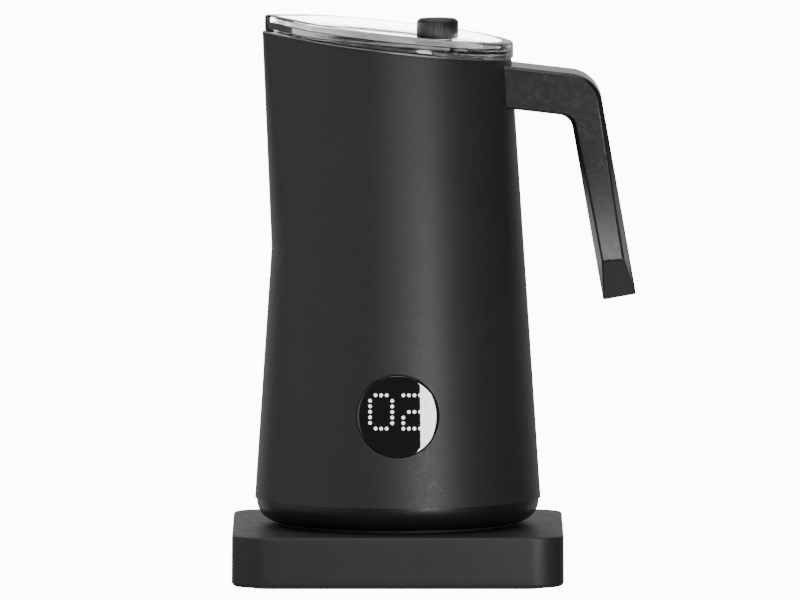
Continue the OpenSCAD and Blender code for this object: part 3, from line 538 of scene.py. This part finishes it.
def foot_cover():
    low, high, outer = FOOT_LOW.z, SEAM_Z, JUG_R - 0.65 * MM
    curve = 8 * MM
    wall = 2 * MM
    well_r = 19.6 * MM
    profile = [(outer, high), (outer, high - 0.35 * MM)]
    profile += arc(outer - curve, low + curve, curve, 0, -90, 22)
    profile += [(42.1 * MM, low), (42.1 * MM, low + 0.5 * MM), (37.9 * MM, low + 0.5 * MM), (37.9 * MM, low)]
    profile += [(well_r + 0.6 * MM, low)] + arc(well_r + 0.6 * MM, low + 0.6 * MM, 0.6 * MM, -90, -180, 5)
    profile += [(well_r, PLUG_LOW.z - 0.3 * MM), (well_r + 2.2 * MM, PLUG_LOW.z - 0.3 * MM)]
    profile += [(well_r + 2.2 * MM, low + wall), (outer - curve, low + wall)]
    profile += [(JUG_R - 2.7 * MM, low + curve), (JUG_R - 3.4 * MM, high + 3.5 * MM)]
    profile += [(JUG_R - 1.75 * MM, high + 3.5 * MM), (JUG_R - 1.75 * MM, high)]
    verts, faces = lathe(profile)
    return make_piece("foot_cover", verts, faces, "jug", DARK_PLASTIC, ["jug_foot"])


SHELL_ROWS_LOW = 30                     # rows of quads below the lip's start
SHELL_ROWS_LIP = 30                     # and above it
HOLE_EDGE = 0.2 * MM                    # rounding of the display hole


def wall_column_ends(inset):
    """For each place round the jug: its point at the lip's start, and the one above it at the form's top."""
    low_r = wall_r(LIP_START_Z) - inset
    high_r = wall_r(LIP_TOP_Z) - inset
    tip = TIP_R - inset
    top = drop_outline(high_r, lip_reach(LIP_TOP_Z) - inset, tip)
    # Every point of the drop outline moves in along its own normal to the circle below.
    centre = lip_reach(LIP_TOP_Z) - TIP_R
    turn = math.pi - math.acos((high_r - tip) / centre)
    bottom = []
    for x, y in top:
        angle = math.atan2(abs(y), x)
        if angle < turn - 1e-6 and x > high_r * math.cos(turn) - 1e-9:
            normal = angle
        elif x < -centre + tip * math.cos(turn) + 1e-9:
            normal = math.atan2(abs(y), x + centre)
        else:
            normal = turn
        bottom.append((low_r * math.cos(normal), math.copysign(low_r * math.sin(normal), y)))
    return bottom, top


def wall_rows(inset, rows_low, rows_lip, top_above=0.0):
    """Rings of the jug's wall from the seam up to the slanted rim."""
    bottom, top = wall_column_ends(inset)
    rings = []
    for i in range(rows_low):
        z = mix(SEAM_Z, LIP_START_Z, i / rows_low)
        scale = (wall_r(z) - inset) / (wall_r(LIP_START_Z) - inset)
        rings.append([(x * scale, y * scale, z) for x, y in bottom])
    tan_tilt = math.tan(RIM_TILT)
    ends = []
    for (bx, by), (tx, ty) in zip(bottom, top):
        rise = LIP_TOP_Z - LIP_START_Z
        up = RIM_Z + top_above / math.cos(RIM_TILT) - tan_tilt * bx - LIP_START_Z
        t = up / (rise + tan_tilt * (tx - bx))
        ends.append((mix(bx, tx, t), mix(by, ty, t), mix(LIP_START_Z, LIP_TOP_Z, t)))
    for i in range(rows_lip + 1):
        t = i / rows_lip
        rings.append([
            (mix(b[0], e[0], t), mix(b[1], e[1], t), mix(LIP_START_Z, e[2], t)) for b, e in zip(bottom, ends)
        ])
    return rings


def punch_window(verts, faces, rings, inset, radii):
    """Opens a round hole in a wall's grid of quads. Returns the vertex numbers round the hole."""
    count = len(rings[0])
    half = WINDOW_HOLE_R + 4 * MM
    rows = [i for i, ring in enumerate(rings) if abs(ring[0][2] - WINDOW_Z) < half and i < SHELL_ROWS_LOW]
    columns = [k for k in range(count) if rings[rows[0]][k][1] < 0 and abs(rings[rows[0]][k][0]) < half]
    row_a, row_b, col_a, col_b = rows[0], rows[-1], columns[0], columns[-1]
    inside = {
        (i, k) for i in range(row_a, row_b) for k in range(col_a, col_b)
    }
    kept = [f for f in faces if not (f[0] // count, f[0] % count) in inside]
    border = [row_a * count + k for k in range(col_a, col_b)]
    border += [i * count + col_b for i in range(row_a, row_b)]
    border += [row_b * count + k for k in range(col_b, col_a, -1)]
    border += [i * count + col_a for i in range(row_b, row_a, -1)]
    previous = border
    steps = 7
    for radius, depth in [(None, 0.0)] * steps + radii:
        step = (len(verts) - count * len(rings)) // len(border) + 1
        current = []
        for index in border:
            x, z = verts[index][0], verts[index][2] - WINDOW_Z
            away = math.hypot(x, z)
            edge = radii[0][0]
            reach = radius if radius else mix(away, edge, step / (steps + 1))
            px, pz = x / away * reach, WINDOW_Z + z / away * reach
            py = -math.sqrt((wall_r(pz) - inset - depth) ** 2 - px ** 2)
            current.append(len(verts))
            verts.append((px, py, pz))
        for i in range(len(border)):
            n = (i + 1) % len(border)
            kept.append((previous[i], previous[n], current[n], current[i]))
        previous = current
    return kept, previous


def shell_skin():
    """The outer shell: a tapered tube that flares into a pouring lip, with a round window hole."""
    outer = wall_rows(0, SHELL_ROWS_LOW, SHELL_ROWS_LIP)
    inner = wall_rows(SHELL_T, SHELL_ROWS_LOW, 2)
    out_verts, out_faces = loft(outer)
    rounding = [
        (WINDOW_HOLE_R + HOLE_EDGE, 0.0), (WINDOW_HOLE_R + 0.3 * HOLE_EDGE, 0.12 * HOLE_EDGE),
        (WINDOW_HOLE_R + 0.08 * HOLE_EDGE, 0.45 * HOLE_EDGE), (WINDOW_HOLE_R, HOLE_EDGE),
    ]
    out_faces, out_hole = punch_window(out_verts, out_faces, outer, 0, rounding)
    in_verts, in_faces = loft(inner)
    in_faces, in_hole = punch_window(in_verts, in_faces, inner, SHELL_T, [(WINDOW_HOLE_R, 0.0)])
    shift = len(out_verts)
    verts = out_verts + in_verts
    faces = out_faces + [tuple(reversed([i + shift for i in f])) for f in in_faces]
    in_hole = [i + shift for i in in_hole]
    count = len(outer[0])
    out_top, in_top = (len(outer) - 1) * count, shift + (len(inner) - 1) * count
    for k in range(count):
        n = (k + 1) % count
        faces.append((k, n, shift + n, shift + k))
        faces.append((out_top + k, out_top + n, in_top + n, in_top + k))
    for i in range(len(out_hole)):
        n = (i + 1) % len(out_hole)
        faces.append((out_hole[i], out_hole[n], in_hole[n], in_hole[i]))
    return make_piece("shell_skin", verts, faces, "jug", BLACK_COAT, ["outer_shell"])


def cup_lining():
    """The stainless cup, from its rolled lip on the shell down to its dished floor."""
    edge = 0.15 * MM
    gap = SHELL_T + 0.6 * MM

    def lip_ring(inset, above):
        return wall_rows(inset, 1, 1, above)[-1]

    def cup_ring(inset, z=None, above=None):
        radius = CUP_WALL_R - inset
        top = drop_outline(radius, lip_reach(LIP_TOP_Z) - gap - inset, TIP_R - gap - inset)
        centre = lip_reach(LIP_TOP_Z) - TIP_R
        turn = math.pi - math.acos((radius - (TIP_R - gap - inset)) / centre)
        ring = []
        for x, y in top:
            if x > radius * math.cos(turn) - 1e-9:
                normal = math.atan2(abs(y), x)
            elif x < -centre + (TIP_R - gap - inset) * math.cos(turn) + 1e-9:
                normal = math.atan2(abs(y), x + centre)
            else:
                normal = turn
            bx, by = radius * math.cos(normal), math.copysign(radius * math.sin(normal), y)
            if above is None:
                t = 0.0
            else:
                tan_tilt = math.tan(RIM_TILT)
                rise = LIP_TOP_Z - LIP_START_Z
                up = RIM_Z + above / math.cos(RIM_TILT) - tan_tilt * bx - LIP_START_Z
                t = up / (rise + tan_tilt * (x - bx))
            ring.append((mix(bx, x, t), mix(by, y, t), mix(LIP_START_Z, LIP_TOP_Z, t) if z is None else z))
        return ring

    floor = CUP_LOW.z
    rings = [
        cup_ring(0, above=0.0), lip_ring(edge + 0.15 * MM, 0.02 * MM), lip_ring(edge, 0.2 * MM),
        lip_ring(edge, 0.4 * MM), lip_ring(edge + 0.2 * MM, LIP_T), cup_ring(CUP_T - 0.5 * MM, above=LIP_T),
        cup_ring(CUP_T - 0.1 * MM, above=LIP_T - 0.12 * MM), cup_ring(CUP_T, above=LIP_T - 0.5 * MM),
        cup_ring(CUP_T, above=-8 * MM), cup_ring(CUP_T), cup_ring(CUP_T, z=floor + 14 * MM),
    ]
    inner_r, inner_z = CUP_WALL_R - CUP_T, floor + 1 * MM
    curve = CUP_CURVE - CUP_T
    for r, z in arc(inner_r - curve, inner_z + curve, curve, 0, -90, 10):
        rings.append(cup_ring(CUP_WALL_R - r, z=z))
    rings.append(cup_ring(CUP_WALL_R - 20 * MM, z=inner_z))
    rings.append(cup_ring(CUP_WALL_R - 2.02 * MM, z=inner_z))
    rings.append(cup_ring(CUP_WALL_R - 2.02 * MM, z=floor))
    for r, z in arc(CUP_WALL_R - CUP_CURVE, floor + CUP_CURVE, CUP_CURVE, -90, 0, 6):
        rings.append(cup_ring(CUP_WALL_R - r, z=z))
    rings.append(cup_ring(0))
    verts, faces = loft(rings, closed_loop=True)
    return make_piece("cup_lining", verts, faces, "jug", CUP_STEEL, ["inner_cup"])


# ---------- handle ----------

ARM_DIP = math.radians(6.5)
LEG_LEAN = math.radians(10)
OUTER_BEND = (61.77 * MM, 171.5 * MM)   # centres of the two bends, in X and Z
OUTER_BEND_R = 12.4 * MM
INNER_BEND = (57.72 * MM, 163.4 * MM)
INNER_BEND_R = 5.6 * MM
GRIP_LEN = 71.8 * MM                    # from the outer bend to the tip
OUTER_BEVEL = 13.9 * MM                 # length of the tip's bevel, along the outer and the inner side
INNER_BEVEL = 15.1 * MM
FLARE_START = 0.12                      # share of the grip above its flare
ARM_DEPTH = 15.3 * MM                   # half depths of the strap
GRIP_DEPTH = HANDLE_HIGH.y
TIP_DEPTH = 3.3 * MM
ARM_FACET, BEND_FACET, GRIP_FACET, TIP_FACET = 0.5 * MM, 1.6 * MM, 2.1 * MM, 0.4 * MM
BEND_FLAT, GRIP_FLAT, TIP_FLAT = 13 * MM, 9 * MM, 2.9 * MM
HANDLE_EDGE_R = 0.9 * MM                # rounding of the strap's long edges
HANDLE_ROOT_INSET = 0.3 * MM            # how far the arm's end sits in the wall
SCREW_X = 51 * MM                       # the handle's screw, and its well in the arm's underside
SCREW_WELL_R = 3.2 * MM
SCREW_HOLE_R = 1.8 * MM
SCREW_SEAT_Z = 172.3 * MM
LEG = Vector((math.sin(LEG_LEAN), 0, -math.cos(LEG_LEAN)))


def bend_point(centre, radius, t):
    angle = mix(math.pi / 2 - ARM_DIP, LEG_LEAN, t)
    return Vector((centre[0] + radius * math.cos(angle), 0, centre[1] + radius * math.sin(angle)))


HANDLE_TIP = bend_point(OUTER_BEND, OUTER_BEND_R, 1) + LEG * GRIP_LEN


def grip_point(centre, radius, bevel, t):
    start = bend_point(centre, radius, 1)
    return start + LEG * t * ((HANDLE_TIP - start).dot(LEG) - bevel)


def round_corner(before, corner, after, radius, steps=6):
    """Points that round one corner of a section, with one more on each side to hold the flats flat."""
    to_before, to_after = before - corner, after - corner
    turn = math.pi - to_before.angle(to_after)
    reach = radius * math.tan(turn / 2)
    a = to_before.normalized() * min(reach, 0.42 * to_before.length)
    b = to_after.normalized() * min(reach, 0.42 * to_after.length)
    points = [corner + a * 1.15]
    for i in range(steps + 1):
        t = i / steps
        points.append(corner + a * (1 - t) ** 2 + b * t ** 2)
    return points + [corner + b * 1.15]


def handle_section(outer, inner, depth, flat, facet):
    """One closed section of the strap: an outer and an inner flat, slanting sides, and rounded long edges."""
    unit = (outer - inner).normalized()
    side = Vector((0, 1, 0))
    corners = [
        outer - side * flat, outer - unit * facet - side * depth,
        inner + unit * facet - side * depth, inner - side * flat,
        inner + side * flat, inner + unit * facet + side * depth,
        outer - unit * facet + side * depth, outer + side * flat,
    ]
    ring = []
    for i, corner in enumerate(corners):
        ring += round_corner(corners[i - 1], corner, corners[(i + 1) % len(corners)], HANDLE_EDGE_R)
    return ring


def arm_root(section):
    """Moves a section along the arm until each of its points sits just inside the jug's wall."""
    ring = []
    for point in section:
        x, z = point.x, point.z
        for _ in range(4):
            x = math.sqrt(wall_r(z) ** 2 - point.y ** 2) - HANDLE_ROOT_INSET
            z = point.z + (point.x - x) * math.tan(ARM_DIP)
        ring.append(Vector((x, point.y, z)))
    return ring


def ease_ring(a, corner, b, steps=5):
    """Rings that round the crease at one ring, between the rings before and after it."""
    rings = []
    for i in range(steps + 1):
        t = i / steps
        rings.append([p * (1 - t) ** 2 + q * 2 * t * (1 - t) + r * t ** 2 for p, q, r in zip(a, corner, b)])
    return rings


def handle_grip():
    """The open-ended handle: a wide level arm, a bend, and a leaning grip that flares and ends in a bevel."""
    arm_steps, bend_steps, grip_steps = 6, 24, 40

    def bend_ring(t):
        return handle_section(
            bend_point(OUTER_BEND, OUTER_BEND_R, t), bend_point(INNER_BEND, INNER_BEND_R, t), ARM_DEPTH,
            mix(ARM_DEPTH - ARM_FACET, BEND_FLAT, t), mix(ARM_FACET, BEND_FACET, t))

    def grip_ring(t):
        flare = (max(0.0, t - FLARE_START) / (1 - FLARE_START)) ** 2
        return handle_section(
            grip_point(OUTER_BEND, OUTER_BEND_R, OUTER_BEVEL, t),
            grip_point(INNER_BEND, INNER_BEND_R, INNER_BEVEL, t),
            mix(ARM_DEPTH, GRIP_DEPTH, flare), mix(BEND_FLAT, GRIP_FLAT, t), mix(BEND_FACET, GRIP_FACET, t))

    def between(ring_a, ring_b, t):
        return [a.lerp(b, t) for a, b in zip(ring_a, ring_b)]

    bend_start = bend_ring(0)
    root = arm_root(bend_start)
    bevel_edge = grip_ring(1)
    tip_ring = handle_section(
        grip_point(OUTER_BEND, OUTER_BEND_R, 0, 1), grip_point(INNER_BEND, INNER_BEND_R, 0, 1),
        TIP_DEPTH, TIP_FLAT, TIP_FACET)
    centre = sum(tip_ring, Vector()) / len(tip_ring)
    rings = [between(root, bend_start, i / arm_steps) for i in range(arm_steps)]
    rings += [bend_ring(i / bend_steps) for i in range(bend_steps + 1)]
    rings += [grip_ring(0.985 * i / grip_steps) for i in range(1, grip_steps + 1)]
    rings += ease_ring(grip_ring(0.99), bevel_edge, between(bevel_edge, tip_ring, 0.04))
    rings += [between(bevel_edge, tip_ring, t) for t in (0.07, 0.3, 0.6, 0.9)]
    inner_tip = [p + (centre - p).normalized() * 0.5 * MM for p in tip_ring]
    rings += ease_ring(between(bevel_edge, tip_ring, 0.97), tip_ring, inner_tip)
    rings.append([p + (centre - p) * 0.2 for p in inner_tip])
    verts, faces = loft(rings, cap_start=True, cap_end=True)
    grip = make_piece(
        "handle_grip", verts, faces, "jug", HANDLE_PLASTIC, ["handle"], crease=24)
    well = [
        (SCREW_WELL_R, SCREW_SEAT_Z - 12 * MM), (SCREW_WELL_R, SCREW_SEAT_Z),
        (SCREW_HOLE_R, SCREW_SEAT_Z), (SCREW_HOLE_R, SCREW_SEAT_Z + 1.6 * MM),
    ]
    cut_rings = [circle_ring(r, z, 48, (SCREW_X, 0)) for r, z in well]
    cut_verts, cut_faces = loft(cut_rings, cap_start=True, cap_end=True)
    cutter = make_piece("screw_well", cut_verts, cut_faces, "jug", HANDLE_PLASTIC)
    return combine(grip, cutter, "DIFFERENCE")


# ---------- display ----------

def window_lens():
    """The display window: a polished disc that follows the wall, with a softened edge and a collar behind."""
    count = 128
    rim = 0.2 * MM
    rings = []

    def surface_ring(radius, sink):
        ring = []
        for k in range(count):
            a = 2 * math.pi * k / count
            x, z = radius * math.cos(a), WINDOW_Z + radius * math.sin(a)
            y = -math.sqrt((wall_r(z) + WINDOW_PROUD - sink) ** 2 - x ** 2)
            ring.append((x, y, z))
        return ring

    for i in range(1, 22):
        rings.append(surface_ring((WINDOW_R - rim) * i / 21, 0.0))
    for inward, down in arc(rim, rim, rim, 270, 180, 6)[1:]:
        rings.append(surface_ring(WINDOW_R - inward, down))
    collar_r, collar_y = WINDOW_HIGH.x, WINDOW_BACK_Y - 0.9 * MM
    for radius, y in ((WINDOW_R, collar_y), (collar_r, collar_y), (collar_r, WINDOW_BACK_Y)):
        rings.append([(p[0] * radius / WINDOW_R, y, WINDOW_Z + (p[2] - WINDOW_Z) * radius / WINDOW_R)
                      for p in surface_ring(WINDOW_R, rim)])
    verts, faces = loft(rings, cap_end=True)
    centre = len(verts)
    verts.append((0, -(wall_r(WINDOW_Z) + WINDOW_PROUD), WINDOW_Z))
    faces += [(centre, (k + 1) % count, k) for k in range(count)]
    return make_piece(
        "window_lens", verts, faces, "display_button", BLACK_GLOSS,
        ["display_window"], crease=50)


DOT_PITCH = 2 * MM
DOT_R = 0.66 * MM
DIGITS_UP = 1.7 * MM                    # middle of the digits above the middle of the window
ZERO = ["01110", "10001", "10001", "10001", "10001", "10001", "01110"]
TWO = ["11110", "00001", "00001", "01110", "10000", "10000", "11111"]


def lit_dots():
    """The two lit digits, as low domes of light on the window's face."""
    verts, faces = [], []
    sides = 20
    for digit, first in ((ZERO, -5), (TWO, 1)):
        for row, line in enumerate(digit):
            for column, lit in enumerate(line):
                if lit == "0":
                    continue
                cx, cz = (first + column) * DOT_PITCH, WINDOW_Z + DIGITS_UP + (3 - row) * DOT_PITCH
                start = len(verts)
                for radius, lift in ((DOT_R, 0.004 * MM), (0.8 * DOT_R, 0.02 * MM), (0.4 * DOT_R, 0.03 * MM)):
                    for k in range(sides):
                        a = 2 * math.pi * k / sides
                        x, z = cx + radius * math.cos(a), cz + radius * math.sin(a)
                        verts.append((x, -math.sqrt((wall_r(z) + WINDOW_PROUD + lift) ** 2 - x ** 2), z))
                for ring in range(2):
                    for k in range(sides):
                        n = (k + 1) % sides
                        a, b = start + ring * sides, start + (ring + 1) * sides
                        faces.append((a + k, a + n, b + n, b + k))
                faces.append(tuple(start + 2 * sides + k for k in range(sides)))
    return make_piece("lit_dots", verts, faces, "display_button", LED_LIGHT)


# ---------- lid ----------

LID_R = 41.9 * MM
LID_REACH = -LID_LOW.x
LID_TIP_R = 6 * MM
LID_H = 6.6 * MM
LID_RING = 4.2 * MM                     # width of the flat ring round the panel
PANEL_TOP = LID_H - 2.8 * MM
PANEL_T = 1.7 * MM
SKIRT_R = 37.3 * MM
SKIRT_REACH = LID_REACH - (LID_R - SKIRT_R) + 0.6 * MM
SKIRT_TIP_R = 4 * MM
SKIRT_T = 1.8 * MM
SKIRT_DEPTH = 9 * MM
SEAL_TOP, SEAL_BOTTOM = -3.4 * MM, -6.6 * MM    # the seal's groove, measured from the rim's plane
SEAL_GROOVE = 0.7 * MM


def lid_ring(inset, above, skirt=False):
    """A ring of the lid's outline, or of its skirt's, at a height above the slanted rim."""
    if skirt:
        r, reach, tip = SKIRT_R - inset, SKIRT_REACH - inset, max(SKIRT_TIP_R - inset, 1.2 * MM)
    else:
        r, reach, tip = LID_R - inset, LID_REACH - inset, max(LID_TIP_R - inset, 1.2 * MM)
    return [(x, y, rim_height(x, above)) for x, y in drop_outline(r, reach, tip)]


def lid_clear():
    """The clear lid: a thick ring, a sunk panel, and a skirt that plugs the cup."""
    soft = 1.0 * MM
    small = 0.4 * MM
    bottom = LIP_T + 0.06 * MM
    rings = [lid_ring(inset, PANEL_TOP) for inset in (34 * MM, 20 * MM, LID_RING + 1.2 * MM)]
    rings += [lid_ring(LID_RING + 0.6 * MM - a, PANEL_TOP + 0.6 * MM + b)
              for a, b in arc(0, 0, 0.6 * MM, 270, 360, 4)]
    rings += [lid_ring(LID_RING - small + a, LID_H - small + b) for a, b in arc(0, 0, small, 0, 90, 4)]
    rings += [lid_ring(mix(LID_RING - small, soft, t), LID_H) for t in (0.33, 0.66)]
    rings += [lid_ring(soft + a, LID_H - soft + b) for a, b in arc(0, 0, soft, 90, 180, 8)]
    rings += [lid_ring(0, mix(LID_H - soft, bottom + 0.8 * MM, t)) for t in (0.33, 0.66, 1.0)]
    rings += [lid_ring(0.8 * MM + a, bottom + 0.8 * MM + b) for a, b in arc(0, 0, 0.8 * MM, 180, 270, 5)[1:]]
    rings += [lid_ring(3.2 * MM, bottom)]
    rings += [lid_ring(0, bottom - 0.7 * MM, True), lid_ring(0, SEAL_TOP, True)]
    rings += [lid_ring(SEAL_GROOVE, SEAL_TOP, True), lid_ring(SEAL_GROOVE, SEAL_BOTTOM, True)]
    rings += [lid_ring(0, SEAL_BOTTOM, True)]
    rings += [lid_ring(0.5 * MM + a, -SKIRT_DEPTH + 0.5 * MM + b, True)
              for a, b in arc(0, 0, 0.5 * MM, 180, 270, 4)]
    rings += [lid_ring(SKIRT_T - 0.5 * MM + a, -SKIRT_DEPTH + 0.5 * MM + b, True)
              for a, b in arc(0, 0, 0.5 * MM, 270, 360, 4)]
    under = PANEL_TOP - PANEL_T
    rings += [lid_ring(SKIRT_T + 0.8 * MM - a, under - 0.8 * MM + b, True)
              for a, b in arc(0, 0, 0.8 * MM, 0, 90, 4)]
    rings += [lid_ring(16 * MM, under, True), lid_ring(30 * MM, under, True)]
    verts, faces = loft(rings, cap_start=True, cap_end=True)
    lid = make_piece("lid_clear", verts, faces, "lid", CLEAR_PLASTIC, ["lid"], crease=40)
    knob_x = (KNOB_LOW.x + KNOB_HIGH.x) / 2
    boss_profile = [(5.4 * MM, KNOB_LOW.z - 3.5 * MM), (5.4 * MM, KNOB_LOW.z - 0.02 * MM)]
    boss_verts, boss_faces = loft(
        [circle_ring(r, z, 64, (knob_x, 0)) for r, z in boss_profile], cap_start=True, cap_end=True)
    boss = make_piece("knob_boss", boss_verts, boss_faces, "lid", CLEAR_PLASTIC)
    return combine(lid, boss, "UNION")


FLUTE_DEPTH = 0.08 * MM


def knob_grip():
    """The knob: fine upright flutes, a chamfered crown and a dished top."""
    centre = ((KNOB_LOW.x + KNOB_HIGH.x) / 2, 0)
    radius = (KNOB_HIGH.x - KNOB_LOW.x) / 2
    low, high = KNOB_LOW.z, KNOB_HIGH.z
    flutes, per_flute = 48, 6
    count = flutes * per_flute
    profile = [(radius - 0.5 * MM, low, 0), (radius - 0.15 * MM, low + 0.1 * MM, 0.0)]
    profile += [(radius, low + 0.45 * MM, 1)]
    profile += [(radius, mix(low + 0.45 * MM, high - 1.35 * MM, t), 1) for t in (0.3, 0.6, 1.0)]
    profile += [(radius - 0.1 * MM, high - 1.1 * MM, 0.6), (radius - 0.45 * MM, high - 0.6 * MM, 0.1)]
    profile += [(radius - 0.9 * MM, high - 0.22 * MM, 0), (radius - 1.4 * MM, high - 0.04 * MM, 0)]
    profile += [(radius - 1.9 * MM, high, 0), (radius - 2.4 * MM, high - 0.12 * MM, 0)]
    profile += [(radius - 2.9 * MM, high - 0.3 * MM, 0), (radius - 4.5 * MM, high - 0.38 * MM, 0)]
    rings = []
    for r, z, fluted in profile:
        ring = []
        for k in range(count):
            a = 2 * math.pi * k / count
            dent = FLUTE_DEPTH * fluted * abs(math.sin(math.pi * k / per_flute)) ** 3
            ring.append((centre[0] + (r - dent) * math.cos(a), centre[1] + (r - dent) * math.sin(a), z))
        rings.append(ring)
    verts, faces = loft(rings, cap_start=True, cap_end=True)
    return make_piece("knob_grip", verts, faces, "lid", KNOB_PLASTIC, ["lid_knob"], crease=50)


# ---------- floor, light and camera ----------

FLOOR_GLOW = 12.0                       # near white once the view transform has rolled it off
WORLD_GLOW = 0.09


def stage_floor():
    """A wide pale floor that glows near white. It isn't mirrored in the object and casts no shadow."""
    mesh = bpy.data.meshes.new("floor")
    verts, faces = loft([circle_ring(r, 0, 96) for r in (0.4, 2.0, 8.0, 40.0)], cap_start=True)
    mesh.from_pydata(verts, [], faces)
    floor = bpy.data.objects.new("floor", mesh)
    bpy.context.scene.collection.objects.link(floor)
    floor.location.z = -0.0002
    material = bpy.data.materials.new("pale_floor")
    material.use_nodes = True
    nodes, links = material.node_tree.nodes, material.node_tree.links
    nodes.clear()
    out = nodes.new("ShaderNodeOutputMaterial")
    both = nodes.new("ShaderNodeAddShader")
    glow = nodes.new("ShaderNodeEmission")
    glow.inputs["Strength"].default_value = FLOOR_GLOW
    paint = nodes.new("ShaderNodeBsdfDiffuse")
    paint.inputs["Color"].default_value = (0.2, 0.2, 0.2, 1)
    links.new(glow.outputs[0], both.inputs[0])
    links.new(paint.outputs[0], both.inputs[1])
    links.new(both.outputs[0], out.inputs["Surface"])
    mesh.materials.append(material)
    floor.visible_diffuse = False
    floor.visible_glossy = False
    floor.visible_shadow = False


def softbox(name, azimuth, elevation, distance, width, height, power, aim=(0, 0, 0.1), spread=180):
    """An area light. Azimuth is in degrees from -Y towards +X."""
    light = bpy.data.lights.new(name, "AREA")
    light.shape = "RECTANGLE"
    light.size, light.size_y = width, height
    light.energy = power
    light.spread = math.radians(spread)
    lamp = bpy.data.objects.new(name, light)
    bpy.context.scene.collection.objects.link(lamp)
    a, e = math.radians(azimuth), math.radians(elevation)
    toward = Vector((math.sin(a) * math.cos(e), -math.cos(a) * math.cos(e), math.sin(e)))
    lamp.location = Vector(aim) + toward * distance
    lamp.rotation_euler = (-toward).to_track_quat("-Z", "Y").to_euler()
    lamp.visible_camera = False
    lamp.visible_transmission = False
    return lamp


def studio_light():
    """A small key right of the display, a broad weak wall on the left, and light from all other sides.

    front_top brightens the flare of the handle, the back lights draw the rims and the handle's sides, and
    floor_bounce, which shines up through the shadowless floor, keeps undersides from going black.
    """
    softbox("key_strip", 25, -4, 0.62, 0.15, 0.15, 1.5)
    softbox("left_wall", -76, 8, 1.2, 2.2, 1.2, 4.8)
    softbox("front_top", 0, 17, 0.9, 0.24, 0.16, 1.1)
    softbox("overhead", 0, 84, 1.0, 1.4, 1.4, 9.0)
    softbox("back_left", -158, 6, 1.2, 0.9, 1.4, 2.6)
    softbox("back_right", 158, 6, 1.2, 0.9, 1.4, 1.8)
    softbox("backdrop", 180, 8, 1.6, 1.2, 0.5, 0.5)
    softbox("floor_bounce", 0, -88, 0.6, 1.0, 1.0, 1.2, aim=(0.05, 0, 0.1))
    world = bpy.data.worlds.new("studio")
    bpy.context.scene.world = world
    world.use_nodes = True
    background = world.node_tree.nodes["Background"]
    background.inputs["Color"].default_value = (1, 1, 1, 1)
    background.inputs["Strength"].default_value = WORLD_GLOW


def photo_camera():
    """A very long lens from slightly above, square on to the display."""
    lens, sensor = 1000.0, 36.0
    frame_width = 290.2 * MM
    elevation = math.radians(4.5)
    aim = Vector((0.8 * MM, 0, 100.5 * MM))
    distance = frame_width * lens / sensor
    data = bpy.data.cameras.new("photo_camera")
    data.lens, data.sensor_width = lens, sensor
    data.clip_start, data.clip_end = 0.5, 60.0
    camera = bpy.data.objects.new("photo_camera", data)
    bpy.context.scene.collection.objects.link(camera)
    toward = Vector((0, -math.cos(elevation), math.sin(elevation)))
    camera.location = aim + toward * distance
    camera.rotation_euler = (-toward).to_track_quat("-Z", "Y").to_euler()
    bpy.context.scene.camera = camera


finish_cad_nodes()
base_case()
foot_cover()
shell_skin()
cup_lining()
handle_grip()
window_lens()
lit_dots()
lid_clear()
knob_grip()
stage_floor()
studio_light()
photo_camera()
